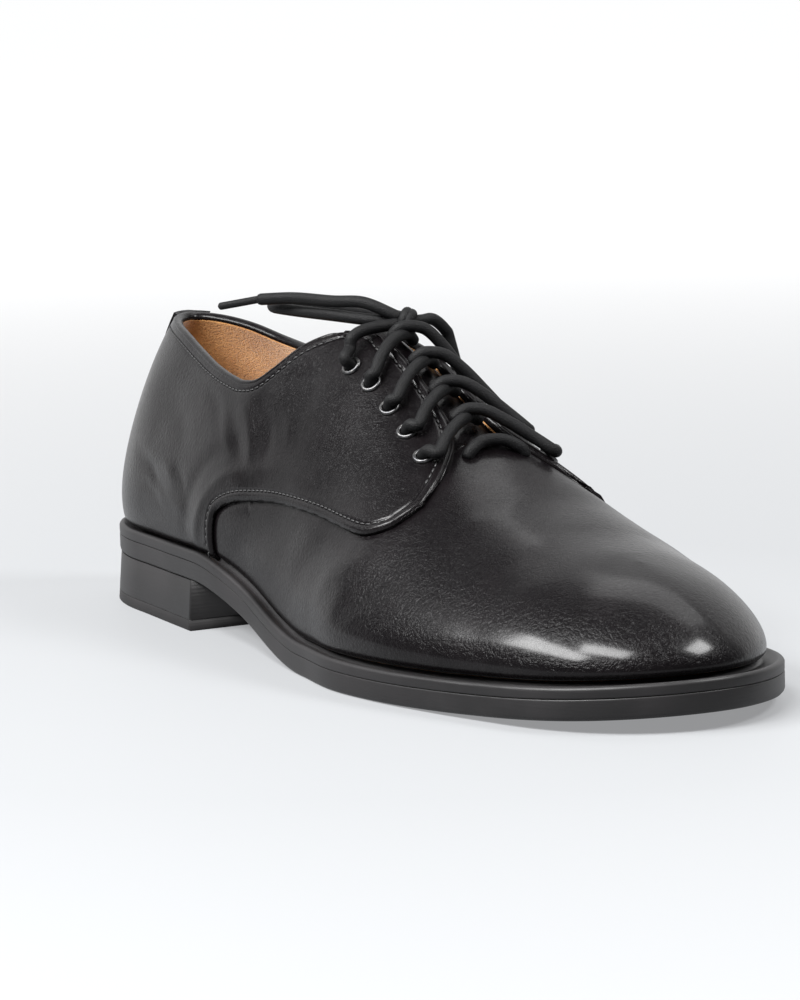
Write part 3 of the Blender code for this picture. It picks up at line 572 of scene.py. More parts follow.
def closed_tube(name, path, side, up, profile, look):
    """A closed solid from a profile carried along a path, with a fan of faces at each end."""
    rows = tube_grid(path, side, up, profile)
    count = rows.shape[1]
    ends = np.stack([rows[0].mean(0), rows[-1].mean(0)])
    points = np.concatenate([rows.reshape(-1, 3), ends])
    quads = [tuple(q) for q in grid_quads(len(rows), count, True).tolist()]
    total = len(rows) * count
    quads += [(i, (i + 1) % count, total) for i in range(count)]
    quads += [(total - count + i, total - count + (i + 1) % count, total + 1) for i in range(count)]
    mesh = bpy.data.meshes.new(name)
    mesh.from_pydata(placed(points).tolist(), [], quads)
    shape = bmesh.new()
    shape.from_mesh(mesh)
    bmesh.ops.recalc_face_normals(shape, faces=shape.faces)
    shape.to_mesh(mesh)
    shape.free()
    return riding(name, mesh, look)


def unit(vectors):
    """Each vector divided by its own length."""
    return vectors / np.maximum(np.linalg.norm(vectors, axis=-1, keepdims=True), 1e-12)


def gentle(k):
    """Rises from 0 to 1 with level ends: three times the square less twice the cube."""
    k = np.clip(k, 0, 1)
    return k * k * (3 - 2 * k)


def rolled(d, size):
    """A rounded edge: 0 at the edge and 1 one size inside it, on a quarter of a circle."""
    k = np.clip(d / size, 0, 1)
    return np.sqrt(np.clip(1 - (1 - k) ** 2, 0, 1))


def bump(d, centre, width):
    """A soft ridge across a distance: 1 at its centre, falling like a bell."""
    return np.exp(-((d - centre) / width) ** 2)


# %% [markdown]
# ## Shader helpers
# A small class wraps a socket, so that sums and products of values read like arithmetic and add the Math
# nodes by themselves. One method adds any other node: its settings first, then its sockets.

# %% Shader helpers
class Value:
    """A number that a shader works out, with the usual signs of arithmetic."""

    def __init__(self, finish, socket):
        self.finish = finish
        self.socket = socket

    def sum_with(self, operation, first, second):
        """One Math node between two numbers or values."""
        node = self.finish.add("ShaderNodeMath", {"operation": operation}, {0: first, 1: second})
        return Value(self.finish, node.outputs[0])

    def __add__(self, other):
        return self.sum_with("ADD", self, other)

    def __radd__(self, other):
        return self.sum_with("ADD", other, self)

    def __sub__(self, other):
        return self.sum_with("SUBTRACT", self, other)

    def __rsub__(self, other):
        return self.sum_with("SUBTRACT", other, self)

    def __mul__(self, other):
        return self.sum_with("MULTIPLY", self, other)

    def __rmul__(self, other):
        return self.sum_with("MULTIPLY", other, self)


class Finish:
    """A material whose nodes are added one at a time; its shader is ready as self.shader."""

    def __init__(self, name):
        self.material = bpy.data.materials.new(name)
        self.material.use_nodes = True
        self.tree = self.material.node_tree
        self.shader = self.tree.nodes["Principled BSDF"]
        place = self.add("ShaderNodeTexCoord")
        self.place = place.outputs["Object"]

    def add(self, kind, settings=None, sockets=None):
        """A node of a type, with its settings first and then its sockets."""
        node = self.tree.nodes.new(kind)
        for key, setting in (settings or {}).items():
            setattr(node, key, setting)
        self.feed(node, sockets or {})
        return node

    def feed(self, node, sockets):
        """Each socket gets a link if a socket or value is given, and a plain number or colour otherwise."""
        for key, given in sockets.items():
            given = given.socket if isinstance(given, Value) else given
            if isinstance(given, bpy.types.NodeSocket):
                self.tree.links.new(given, node.inputs[key])
            else:
                node.inputs[key].default_value = given

    def value(self, node, output=0):
        """One output of a node as a value."""
        return Value(self, node.outputs[output])

    def noise(self, scale, detail=3.0, roughness=0.5, place=None):
        """Soft noise between 0 and 1, with a scale in waves a metre."""
        node = self.add("ShaderNodeTexNoise", {}, {
            "Vector": place or self.place, "Scale": scale, "Detail": detail, "Roughness": roughness})
        return self.value(node)

    def cells(self, scale, place=None):
        """Distance to the edge of the cell that a place lies in, so the cells' edges are 0."""
        node = self.add("ShaderNodeTexVoronoi", {"feature": "DISTANCE_TO_EDGE"}, {
            "Vector": place or self.place, "Scale": scale})
        return self.value(node, "Distance")

    def ramp(self, value, low, high):
        """0 up to a low value and 1 from a high one on, with a straight line between them."""
        node = self.add("ShaderNodeMapRange", {"clamp": True}, {
            "Value": value, "From Min": low, "From Max": high})
        return self.value(node, "Result")

    def mixed(self, factor, first, second):
        """One colour turning into another as the factor goes from 0 to 1."""
        node = self.add("ShaderNodeMix", {"data_type": "RGBA"}, {0: factor})
        for key, given in ((6, first), (7, second)):
            self.feed(node, {key: (*given, 1.0) if isinstance(given, tuple) else given})
        return node.outputs[2]

    def warped(self, scale, amount):
        """The place moved about by a noise, so that cells lose their straight sides."""
        wander = self.add("ShaderNodeTexNoise", {}, {"Vector": self.place, "Scale": scale, "Detail": 2.0})
        centred = self.add("ShaderNodeVectorMath", {"operation": "SUBTRACT"}, {
            0: wander.outputs["Color"], 1: (0.5, 0.5, 0.5)})
        scaled = self.add("ShaderNodeVectorMath", {"operation": "SCALE"}, {
            0: centred.outputs[0], "Scale": amount})
        moved = self.add("ShaderNodeVectorMath", {"operation": "ADD"}, {0: self.place, 1: scaled.outputs[0]})
        return moved.outputs[0]

    def stretched(self, x, y, z):
        """The place stretched along the axes, for a pattern that runs one way."""
        node = self.add("ShaderNodeMapping", {}, {"Vector": self.place, "Scale": (x, y, z)})
        return node.outputs[0]

    def relief(self, height, distance, strength=1.0, below=None):
        """A bumped normal: the height times a distance in metres, laid over another bump if one is given."""
        sockets = {"Height": height, "Distance": distance, "Strength": strength}
        if below is not None:
            sockets["Normal"] = below
        return self.add("ShaderNodeBump", {}, sockets).outputs[0]

    def set(self, **sockets):
        """The shader's own sockets, named in small letters."""
        for key, given in sockets.items():
            name = key.replace("_", " ").title().replace("Ior", "IOR")
            given = given.socket if isinstance(given, Value) else given
            if isinstance(given, tuple) and len(given) == 3 and name != "Normal":
                given = (*given, 1.0)
            self.feed(self.shader, {name: given})
        return self.material


# %% [markdown]
# ## Black calf leather
# The leather is a smooth calfskin: nearly black with a warm violet cast, glazed where it is pulled tight,
# and with a fine crinkle that breaks up each highlight. Two sizes of cells make the crinkle, a slow noise
# turns it up and down, and a thin coat gives the polish.

# %% Leather
def calf_leather(name):
    """Nearly black, with a crinkle where the slow patches are high, and a coat that grows with them."""
    look = Finish(name)
    patches = look.noise(24, 3.0)
    moved = look.warped(420, 0.0014)
    coarse = look.ramp(look.cells(560, place=moved), 0.0, 0.30)
    fine = look.ramp(look.cells(1500, place=moved), 0.0, 0.3)
    pores = look.noise(2600, 2.0)
    strength = look.ramp(patches, 0.40, 0.64)
    crinkled = look.relief(coarse * strength + fine * 0.5 + pores * 0.35, 0.00022, 0.45)
    streaks = look.noise(260, 3.0, place=look.stretched(0.35, 0.35, 1.0))
    waves = look.relief(look.noise(120, 2.0) + streaks * 0.25, 0.0008, 0.2, below=crinkled)
    worn = look.ramp(look.noise(70, 4.0), 0.45, 0.75)
    colour = look.mixed(worn, (0.0016, 0.0011, 0.0014), (0.0034, 0.0026, 0.0030))
    look.set(base_color=colour, roughness=0.30 + (1 - patches) * 0.10 + fine * -0.04, normal=waves,
             specular_ior_level=0.07, coat_weight=patches * 0.62, coat_roughness=0.17, coat_ior=1.40)
    return look.material


LEATHER = calf_leather("calf_leather")
print("leather has", len(LEATHER.node_tree.nodes), "nodes")

# %% [markdown]
# ## Folds
# Leather that has been pulled over a last and worn a few times shows soft folds. Each row of a table is one
# fold: where it starts and ends on the wall, its width, and its depth, less than nothing for a raised one.

# %% Folds
QUARTER_FOLDS = (
    # start along, start height, end along, end height, width, depth, all lengths in millimetres
    (38, 45, 57, 38, 1.6, 0.34), (38, 41, 65, 36, 1.5, 0.30), (36, 37, 62, 32, 1.7, 0.26),
    (47, 45, 70, 40, 2.0, -0.22), (69, 44, 79, 38, 1.8, 0.22), (58, 34, 84, 30, 2.2, -0.20),
    (60, 70, 93, 59, 3.2, 0.30), (68, 70, 101, 54, 2.6, -0.26), (82, 64, 111, 50, 3.0, 0.32),
    (99, 66, 116, 51, 2.4, -0.24), (108, 66, 125, 53, 2.8, 0.28), (116, 69, 134, 56, 2.6, -0.20),
    (40, 62, 73, 51, 4.5, 0.30), (45, 47, 71, 40, 4.0, -0.25), (122, 74, 137, 67, 2.5, 0.18),
    (88, 25, 97, 40, 3.0, -0.55), (97, 40, 114, 45, 3.0, -0.50), (114, 45, 150, 46, 3.4, -0.30),
    (80, 27, 89, 46, 3.2, 0.36), (89, 46, 112, 52, 3.4, 0.30), (150, 56, 178, 52, 3.0, 0.20),
)
VAMP_FOLDS = (
    (160, 27, 187, 36, 5.0, 0.35), (177, 23, 200, 34, 4.0, -0.28), (193, 19, 211, 27, 4.5, 0.26),
    (110, 24, 150, 34, 5.5, 0.40), (120, 34, 165, 37, 4.0, -0.25), (208, 44, 224, 30, 6.0, 0.18),
    (216, 44, 234, 32, 5.5, -0.14), (228, 38, 248, 28, 6.5, 0.16),
)


def folds(base, table):
    """Sum of the folds: each is a bell across a segment on the wall, fading out at its two ends."""
    height = np.zeros(base.shape[:-1])
    flat = base[..., [0, 2]] * 1000
    for x0, z0, x1, z1, width, depth in table:
        start, way = np.array([x0, z0]), np.array([x1 - x0, z1 - z0])
        span = np.linalg.norm(way)
        k = ((flat - start) @ way) / span ** 2
        bow = 0.10 * span * np.sin(np.clip(k, 0, 1) * math.pi)
        off = (flat[..., 0] - x0) * -way[1] / span + (flat[..., 1] - z0) * way[0] / span - bow
        fade = gentle(np.minimum(k + 0.25, 1.25 - k) / 0.5)
        height -= depth * MM * np.exp(-(off / width) ** 2) * fade
    return height


# %% [markdown]
# ## The vamp
# The vamp is the front panel, one piece from the throat over the toe. It tucks under the quarters by a
# few millimetres, so its skin stops a little inside their edges, and its lower edge rolls in to the welt.

# %% Vamp
LAP = 6 * MM
COLUMN_LENGTH = 75 * MM
CROWN_ROWS = 14


def crowded(start, stop, count, spots):
    """Angles from start to stop, closer together near the given spots along the shoe."""
    dense = np.linspace(start, stop, 6000)
    x = SHOE_LENGTH * along(dense)
    weight = 1 + sum(gain * np.exp(-((x - spot) / width) ** 2) for spot, gain, width in spots)
    total = np.concatenate([[0], np.cumsum(weight[1:])])
    return np.interp(np.linspace(0, total[-1], count), total, dense)


def tuck(base):
    """How far the leather rolls in just over the welt."""
    over = base[..., 2] - feather_height(base[..., 0])
    return -1.0 * MM * (1 - rolled(over, 2.6 * MM))


def vamp_relief(base):
    """Height of the vamp over the last: its folds, and a trough where the quarters' edges press on it."""
    return folds(base, VAMP_FOLDS) - 0.4 * MM * bump(distance(base, rim_line), 0, 1.5 * MM) + tuck(base)


def crowned(grid, mirror, reach):
    """The top rows of a grid and its mirror image joined by one smooth arch over the middle line."""
    base, slope = grid[-reach], (grid[-reach] - grid[-reach - 1]) * (2 * reach - 2)
    u = np.linspace(0, 0.5, reach)[:, None, None]
    return ((2 * u ** 3 - 3 * u ** 2 + 1) * base + (u ** 3 - 2 * u ** 2 + u) * slope
            + (3 * u ** 2 - 2 * u ** 3) * base[mirror] - (u ** 3 - u ** 2) * slope[mirror])


def make_vamp():
    """Columns from the welt up to the ridge in front of the throat, or up under the quarter behind it."""
    spots = ((SEAM_START, 1.0, 0.006), (LOBE_TIP, 1.5, 0.014))
    side = crowded(0.62 * SEAM_ANGLE, math.pi, 250, spots)
    theta = np.concatenate([side, 2 * math.pi - side[-2::-1]])
    seam, top = edges(theta)
    ahead = edges(theta + 0.06 * np.sign(math.pi - theta))[0]
    seam = np.where(SHOE_LENGTH * along(theta) < SEAM_START + 20 * MM, np.maximum(seam, ahead), seam)
    ridge_x = ridge_point(theta)[:, 0]
    reach_up = gentle((ridge_x - THROAT + 0.030) / 0.028)
    under = np.minimum(seam + LAP / COLUMN_LENGTH, top - 0.01)
    under = under + (np.maximum(top - 0.01, under) - under) * reach_up
    closed = ridge_x >= THROAT
    stop = np.where(closed, 1.0, under)
    hem = 0.85 * np.minimum(stop, 0.90)
    lower, upper = np.linspace(0, 1, 67)[:, None], np.linspace(0, 1, 24)[1:, None]
    t = np.concatenate([hem * lower, hem + (stop - hem) * upper])
    grid_theta = np.broadcast_to(theta, t.shape)
    outer = skin(grid_theta, t, vamp_relief(last(grid_theta, t)))
    inner = skin(grid_theta, t, -WALL * 0.65)
    mirror = np.arange(len(theta))[::-1]
    for grid in (outer, inner):
        crown = crowned(grid, mirror, CROWN_ROWS)
        grid[-CROWN_ROWS:] = np.where(closed[:, None], crown, grid[-CROWN_ROWS:])
    return closed_sheet("vamp", outer, inner, LEATHER, joined=closed)


vamp = make_vamp()
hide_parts("upper")
print("vamp has", len(vamp.data.polygons), "faces")

# %% [markdown]
# ## The quarters
# The quarters lie over the vamp as a step of a little over a millimetre. Their edge is rolled, has a raised
# band and then a groove, which the stitches sit in. A second groove runs under the collar's bead. Each is
# a grid between its lower edge and its upper edge, with rows crowded near both.

# %% Quarters
BAND = 2.7 * MM
COLLAR_BAND = 2.5 * MM
LOWER_ANCHORS = (0.0330, 0.1130, 0.1890)
UPPER_ANCHORS = (0.0700, 0.0970, 0.1170, 0.1660)
ANCHOR_COLUMNS = (0, 58, 96, 136, 226, 290)
ROWS = 78


def resample(line, anchors):
    """Theta and t at the wanted columns, with even steps between the anchors' lengths."""
    wanted = np.interp(np.arange(ANCHOR_COLUMNS[-1] + 1), ANCHOR_COLUMNS, anchors)
    length = run_length(line)
    return np.stack([np.interp(wanted, length, line[:, i]) for i in (3, 4)], -1)


def quarter_relief(base):
    """Height of the quarters over the last: the step, its band and groove, the collar's groove, folds."""
    from_rim = distance(base, rim_line)
    from_collar = distance(base, collar_line)
    inside = gentle((from_rim - 3 * MM) / (6 * MM)) * gentle((from_collar - 3 * MM) / (6 * MM))
    height = QUARTER * rolled(from_rim, 0.9 * MM)
    height += 0.20 * MM * bump(from_rim, 1.4 * MM, 0.8 * MM) - 0.38 * MM * bump(from_rim, BAND, 0.42 * MM)
    height -= 0.34 * MM * bump(from_collar, COLLAR_BAND, 0.5 * MM)
    height -= 0.5 * MM * (1 - rolled(from_collar, 0.8 * MM))
    return height + folds(base, QUARTER_FOLDS) * (0.35 + 0.65 * inside) + tuck(base), from_rim


def make_quarter(side, name):
    """A grid from the welt and the seam below to the collar and the facing above, with matched columns."""
    lower = np.concatenate([grounds[side], seams[side]])
    length = run_length(lower)
    start = len(grounds[side])
    seam = seams[side]
    points = [0, start, start + int(np.argmax(seam[:, 2] > LOWER_ANCHORS[0])),
              start + int(np.argmax(seam[:, 0] > LOWER_ANCHORS[1])),
              start + int(np.argmax(seam[:, 0] > LOWER_ANCHORS[2])), len(lower) - 1]
    low = resample(lower, length[points])
    upper = tops[side]
    length = run_length(upper)
    points = [0, *[int(np.argmax(upper[:, 0] > x)) for x in UPPER_ANCHORS], len(upper) - 1]
    high = resample(upper, length[points])
    k = np.linspace(0, 1, 2000)
    weight = 1 + 7 * np.exp(-k / 0.05) + 5 * np.exp((k - 1) / 0.06)
    total = np.concatenate([[0], np.cumsum(weight[1:])])
    k = np.interp(np.linspace(0, total[-1], ROWS), total, k)[:, None, None]
    grid = low + (high - low) * k
    theta, t = grid[..., 0], grid[..., 1]
    height, from_rim = quarter_relief(last(theta, t))
    outer = skin(theta, t, height)
    depth = -0.15 * MM - (WALL * 0.5) * gentle((from_rim - LAP - MM) / (2 * MM))
    inner = skin(theta, t, depth + 0.7 * tuck(last(theta, t)))
    made = closed_sheet(name, outer, inner, LEATHER)
    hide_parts("upper")
    return made


quarters = [make_quarter(1, "quarter_lateral"), make_quarter(-1, "quarter_medial")]
print("each quarter has", len(quarters[0].data.polygons), "faces")

# %% [markdown]
# ## The lining
# Inside, the shoe is lined with tan leather, rough side out and a little mottled like suede. The lining is
# one thin sheet under the quarters and the vamp.

# %% Lining
def tan_lining(name):
    """Tan suede: two browns in clouds, dark specks and a nap."""
    look = Finish(name)
    clouds = look.noise(90, 4.0, 0.6)
    specks = look.noise(1100, 3.0, 0.7)
    colour = look.mixed(look.ramp(clouds, 0.35, 0.7), (0.30, 0.13, 0.034), (0.43, 0.215, 0.068))
    colour = look.mixed(look.ramp(specks, 0.52, 0.8) * 0.6, colour, (0.15, 0.06, 0.018))
    nap = look.relief(specks + look.noise(2400, 2.0), 0.00035, 0.8)
    look.set(base_color=colour, roughness=0.86, normal=nap, specular_ior_level=0.25, sheen_weight=0.3,
             sheen_roughness=0.5)
    return look.material


TAN = tan_lining("tan_lining")


def make_lining():
    """The inside skin of the wall, from the insole to the topline and facings, open over the throat."""
    side = crowded(0.0, math.pi, 200, ((LOBE_TIP, 2.0, 0.012),))
    theta = np.concatenate([side, 2 * math.pi - side[-2:0:-1]])
    seam, top = edges(theta)
    closed = ridge_point(theta)[:, 0] >= THROAT
    inside_top = np.where(seam < top, top, 0.62)
    stop = np.where(closed, 1.0, inside_top)
    t = 0.02 + (stop - 0.02) * np.linspace(0, 1, 60)[:, None]
    grid_theta = np.broadcast_to(theta, t.shape)
    outer = skin(grid_theta, t, -WALL * 0.75)
    inner = skin(grid_theta, t, -WALL * 1.05)
    mirror = (len(theta) - np.arange(len(theta))) % len(theta)
    for grid in (outer, inner):
        joined = 0.5 * (grid[-1] + grid[-1][mirror])
        grid[-1] = np.where(closed[:, None], joined, grid[-1])
    return closed_sheet("lining", outer, inner, TAN, closed=True)


lining = make_lining()
print("lining has", len(lining.data.polygons), "faces")

# %% [markdown]
# ## Collar bead and facing edge
# The topline ends in a thin roll of leather, and the facings in a narrower one. Both are one tube with an
# oval section, carried along the edge.

# %% Collar bead
def edge_frame(curve, offset):
    """Points, normals and directions towards the sheet along an edge of the leather."""
    theta, t = curve[:, 3], curve[:, 4]
    path = skin(theta, t, offset)
    normal = last_normal(theta, t)
    tangent = unit(np.gradient(path, axis=0))
    return path, normal, unit(np.cross(tangent, normal))


def make_bead(name, line, wide, tall, fade_points):
    """An oval tube along an edge, drawn in over a few points at both ends."""
    curve = even(line, 1.0 * MM)
    path, normal, away = edge_frame(curve, (QUARTER - WALL) / 2)
    ends = np.arange(len(curve))
    fade = 0.2 + 0.8 * gentle(np.minimum(ends, ends[::-1]) / fade_points)
    phi = np.linspace(0, 2 * math.pi, 20, endpoint=False)
    profile = np.stack([np.cos(phi) * (wide * fade)[:, None], np.sin(phi) * (tall * fade)[:, None]], -1)
    made = closed_tube(name, path, normal, away, profile, LEATHER)
    return made


FULL_WALL = QUARTER + WALL
SHORT_OF_LOBE = 26
make_bead("collar_bead", collar_line, FULL_WALL / 2 + 0.12 * MM, 1.1 * MM, 8)
for side, side_name in ((1, "lateral"), (-1, "medial")):
    edge = facings[side][:-SHORT_OF_LOBE]
    make_bead(f"facing_edge_{side_name}", edge, FULL_WALL / 2 - 0.28 * MM, 0.62 * MM, 6)
print("bead runs", round(run_length(collar_line)[-1] / MM), "mm round the collar")

# %% [markdown]
# ## Stitches
# A row of short stitches lies in each groove. One small capsule is copied to every place at once, turned
# along the seam.

# %% Stitches
STITCH = 1.75 * MM
STITCH_STEP = 2.3 * MM


def stitch_row(line, inward, height, direction):
    """Middle, along, across and up of each stitch, on a line moved inwards over the leather."""
    curve = even(line, EDGE_STEP)
    path, normal, away = edge_frame(curve, height)
    path = path + away * inward * direction
    curve = even(np.concatenate([path, normal], 1), STITCH_STEP)[1:-1]
    way = unit(np.gradient(curve[:, :3], axis=0))
    up = unit(curve[:, 3:])
    return curve[:, :3], way, np.cross(up, way), up


def make_stitches(name, rows, look):
    """Capsules: rings from end to end, carried to every place by its three directions."""
    ring = np.linspace(0, 2 * math.pi, 8, endpoint=False)
    ends = np.array([-0.5, -0.42, -0.2, 0.2, 0.42, 0.5])
    thick = np.array([0.05, 0.7, 1.0, 1.0, 0.7, 0.05]) * 0.26 * MM
    shape = np.stack(np.broadcast_arrays(ends[:, None] * STITCH, thick[:, None] * np.cos(ring),
                                         thick[:, None] * np.sin(ring)), -1).reshape(-1, 3)
    quads = grid_quads(len(ends), len(ring), True)
    caps_quads = [[0, 1, 2, 3], [0, 3, 4, 7], [4, 5, 6, 7]]
    far = (len(ends) - 1) * len(ring)
    quads = np.concatenate([quads, np.array(caps_quads), np.array(caps_quads)[:, ::-1] + far])
    middle, way, across, up = [np.concatenate(part) for part in zip(*rows)]
    dip = np.abs(shape[:, 0] / STITCH * 2) ** 3 * 0.14 * MM
    points = (middle[:, None] + way[:, None] * shape[None, :, :1] + across[:, None] * shape[None, :, 1:2]
              + up[:, None] * (shape[None, :, 2:] - dip[None, :, None]))
    every = quads[None] + (np.arange(len(middle)) * len(shape))[:, None, None]
    made = add_mesh(name, points.reshape(-1, 3), every.reshape(-1, 4), look, weld=1e-9)
    return len(middle)


def thread_look(name):
    """Plain black thread."""
    look = Finish(name)
    look.set(base_color=(0.012, 0.0115, 0.012), roughness=0.5, specular_ior_level=0.5)
    return look.material


THREAD = thread_look("black_thread")
rows = []
for side in (1, -1):
    rim = np.concatenate([seams[side], tops[side][:corner_index(tops[side]):-1]])
    row = stitch_row(rim[12:], BAND, QUARTER - 0.16 * MM, -side)
    behind = row[0][:, 0] < row[0][:, 0].max() - 7 * MM
    rows.append([part[behind] for part in row])
    rows.append(stitch_row(collars[side], COLLAR_BAND, QUARTER - 0.16 * MM, side))
print("made", make_stitches("stitches", rows, THREAD), "stitches")

# %% [markdown]
# ## Sole edge, welt and heel
# The sole is leather, blacked and waxed at its edge. Its side is nearly flat with a rounded upper lip, a
# fine line between the layers and faint lines left by the edge iron. One profile is carried round the
# outline for each layer.

# %% Sole finish
def waxed_edge(name, roughness=0.42):
    """Blacked leather edge: cloudy wax, level lines between the layers and fine scratches."""
    look = Finish(name)
    layers = look.noise(30, 3.0, place=look.stretched(1.0, 1.0, 60.0))
    clouds = look.noise(45, 3.0)
    scratch = look.noise(500, 2.0, place=look.stretched(0.25, 0.25, 2.0))
    colour = look.mixed(look.ramp(clouds, 0.4, 0.7), (0.0055, 0.005, 0.0053), (0.012, 0.0108, 0.0114))
    fine = look.relief(layers * 0.6 + scratch * 0.4, 0.00022, 0.5)
    look.set(base_color=colour, roughness=roughness + clouds * 0.16, normal=fine,
             specular_ior_level=0.3, coat_weight=0.06, coat_roughness=0.3)
    return look.material


EDGE = waxed_edge("waxed_sole_edge")
RUBBER = waxed_edge("heel_rubber", 0.62)
SOLE_COLUMNS = 420


def level_points(theta, inward, height, heel_share=1.0):
    """Plan points moved in from the outline, at a height over the sole's underside."""
    plan = outline(theta, inward * heel_share, inward, inward)
    return np.concatenate([plan, (sole_bottom(plan[:, 0]) + height)[:, None]], 1)


def ring_solid(name, rows, look):
    """A closed ring: rows of points round the shoe, the last joined to the first."""
    grid = np.stack([*rows, rows[0]])
    return add_mesh(name, grid.reshape(-1, 3), grid_quads(len(grid), grid.shape[1], True), look)


def capped_solid(name, rows, look):
    """A block: rows of points round the shoe, closed below and above by strips across it."""
    grid = np.stack(rows)
    count = grid.shape[1]
    half = np.arange(count // 2)
    quads = [grid_quads(len(grid), count, True)]
    for first in (0, (len(grid) - 1) * count):
        a = first + half
        b = first + half + 1
        c = first + (count - half - 1) % count
        d = first + (count - half) % count
        quads.append(np.stack([a, b, c, d], -1))
    return add_mesh(name, grid.reshape(-1, 3), np.concatenate(quads), look)


def make_sole():
    """The edge's profile, from under the sole to its top, as insets and heights in millimetres."""
    theta = np.linspace(0, 2 * math.pi, SOLE_COLUMNS, endpoint=False)
    edge = ((2.4, 0.0), (1.2, 0.04), (0.5, 0.22), (0.14, 0.65), (0.0, 1.3), (0.0, 3.2), (0.0, 4.9),
            (0.05, 5.2), (0.16, 5.38), (0.5, 5.42), (1.2, 5.42))
    rows = [level_points(theta, inward * MM, height * MM) for inward, height in edge]
    return capped_solid("outsole_edge", rows, EDGE)


def make_welt():
    """The welt's rounded edge, then its inner side, which stays clear of the upper's wall."""
    theta = np.linspace(0, 2 * math.pi, SOLE_COLUMNS, endpoint=False)
    base = OUTSOLE + GAP
    edge = ((1.2, 0.0), (0.5, 0.0), (0.16, 0.04), (0.05, 0.18), (0.0, 0.45), (0.0, 1.5), (0.0, 2.05),
            (0.12, 2.4), (0.38, 2.75), (0.75, 2.96), (1.15, 3.02), (1.6, 2.9), (2.1, 2.6))
    rows = [level_points(theta, inward * MM, base + height * MM, 0.7) for inward, height in edge]
    for inward, height in ((0.2, 2.1), (1.15, 2.1), (1.35, 3.5), (1.75, 3.5), (WALL / MM + 0.3, 0.0)):
        inner = feather(theta) - plan_normal(feather, theta) * inward * MM
        floor = (sole_bottom(inner[:, 0]) + base)[:, None]
        rows.append(np.concatenate([inner, floor + height * MM], 1))
    return ring_solid("welt_edge", rows, EDGE)


outsole = make_sole()
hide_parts("outsole")
welt = make_welt()
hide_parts("welt")
print("sole edge is", round((OUTSOLE + WELT + GAP) * 1000, 1), "mm thick")

# %% [markdown]
# ## The heel
# The heel is two blocks: the stacked leather and its thin bottom lift. Both follow the sole's outline up to
# the straight breast, and the stack draws in a little on its way up.

# %% Heel
def heel_plan(spread, height):
    """The sole's outline behind the breast, spread outwards, with its front edge straight."""
    stop = math.acos(1 - 2 * BREAST / SHOE_LENGTH)
    side = np.linspace(0, stop, 90)
    theta = np.concatenate([side, 2 * math.pi - side[:0:-1]])
    plan = outline(theta) + plan_normal(outline, theta) * spread
    plan[:, 0] = np.minimum(plan[:, 0], BREAST)
    return np.concatenate([plan, np.full((len(plan), 1), height)], 1)


def heel_layer(name, low_height, high_height, look):
    """One layer of the heel: straight sides with small rounded lips above and below."""
    def spread(z):
        """How far the side stands out at a height: the flare, less as it rises."""
        return HEEL_FLARE - (HEEL_FLARE + 0.35 * MM) * z / HEEL_HEIGHT

    steps = ((0.6, 0.0), (0.12, 0.02), (0.0, 0.16))
    rows = [heel_plan(spread(low_height) - inward * MM, low_height + lift * MM) for inward, lift in steps]
    rows += [heel_plan(spread(high_height) - inward * MM, high_height - lift * MM)
             for inward, lift in steps[::-1]]
    return capped_solid(name, rows, look)


top_piece = heel_layer("heel_top_lift", 0.0, HEEL_LIFT, RUBBER)
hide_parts("heel_top_piece")
stack = heel_layer("heel_block", HEEL_LIFT + 0.02 * MM, HEEL_HEIGHT - 0.02 * MM, EDGE)
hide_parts("heel_stack")
print("heel is", round(HEEL_HEIGHT / MM, 1), "mm high")

# %% [markdown]
# ## Tongue and insole
# The tongue fills the gap between the facings, a little below them. The insole is the tan footbed that
# shows through the collar.

# %% Tongue and insole
def make_tongue():
    """A bent sheet under the facings: rows along the shoe, columns from one side over the ridge."""
    stations = np.linspace(TONGUE_TOP, TONGUE_ROOT, 90)
    half_theta = np.arccos(1 - 2 * (stations - RIDGE_START) / (RIDGE_END - RIDGE_START))
    ends = np.minimum(stations - TONGUE_TOP, TONGUE_ROOT - stations) / 0.008
    half = TONGUE_HALF_WIDTH * (1 - 0.4 * np.clip(1 - ends, 0, 1) ** 2)
    sheets = []
    for depth in (WALL + 2 * GAP, WALL + 2 * GAP + TONGUE):
        sides = []
        for theta in (half_theta, -half_theta):
            steps, _, _, away = wall_grid(theta)
            start = first_crossing(half[:, None] - away, steps)
            t = start[:, None] + (1 - start[:, None]) * np.linspace(0, 1, 26)
            sides.append(skin(np.broadcast_to(theta[:, None], t.shape), t, -depth))
        middle = 0.5 * (sides[0][:, -1:] + sides[1][:, -1:])
        sheets.append(np.concatenate([sides[0][:, :-1], middle, sides[1][:, -2::-1]], 1))
    return closed_sheet("tongue_leather", sheets[0], sheets[1], LEATHER)


tongue = make_tongue()
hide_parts("tongue")
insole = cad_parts["insole"]
insole.data.materials.clear()
insole.data.materials.append(TAN)
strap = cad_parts["back_strap"]
strap.data.materials.clear()
strap.data.materials.append(LEATHER)

# %% [markdown]
# ## Eyelets
# Each eyelet is a small pressed ring of dark nickel: a profile turned about the hole's own direction.

# %% Eyelets
def dark_nickel(name):
    """Dark metal with two greys where it is worn."""
    look = Finish(name)
    wear = look.noise(800, 3.0)
    colour = look.mixed(look.ramp(wear, 0.4, 0.7), (0.07, 0.07, 0.073), (0.13, 0.128, 0.125))
    look.set(base_color=colour, metallic=1.0, roughness=0.34 + wear * 0.1)
    return look.material


NICKEL = dark_nickel("dark_nickel")


def eyelet_station(number):
    """Place along the shoe and distance from the middle line of one eyelet, 0 at the top."""
    k = number / (EYELETS - 1)
    x = EYELET_TOP + (EYELET_BOTTOM - EYELET_TOP) * k
    return x, EYELET_TOP_SETBACK + (EYELET_BOTTOM_SETBACK - EYELET_TOP_SETBACK) * k ** 2


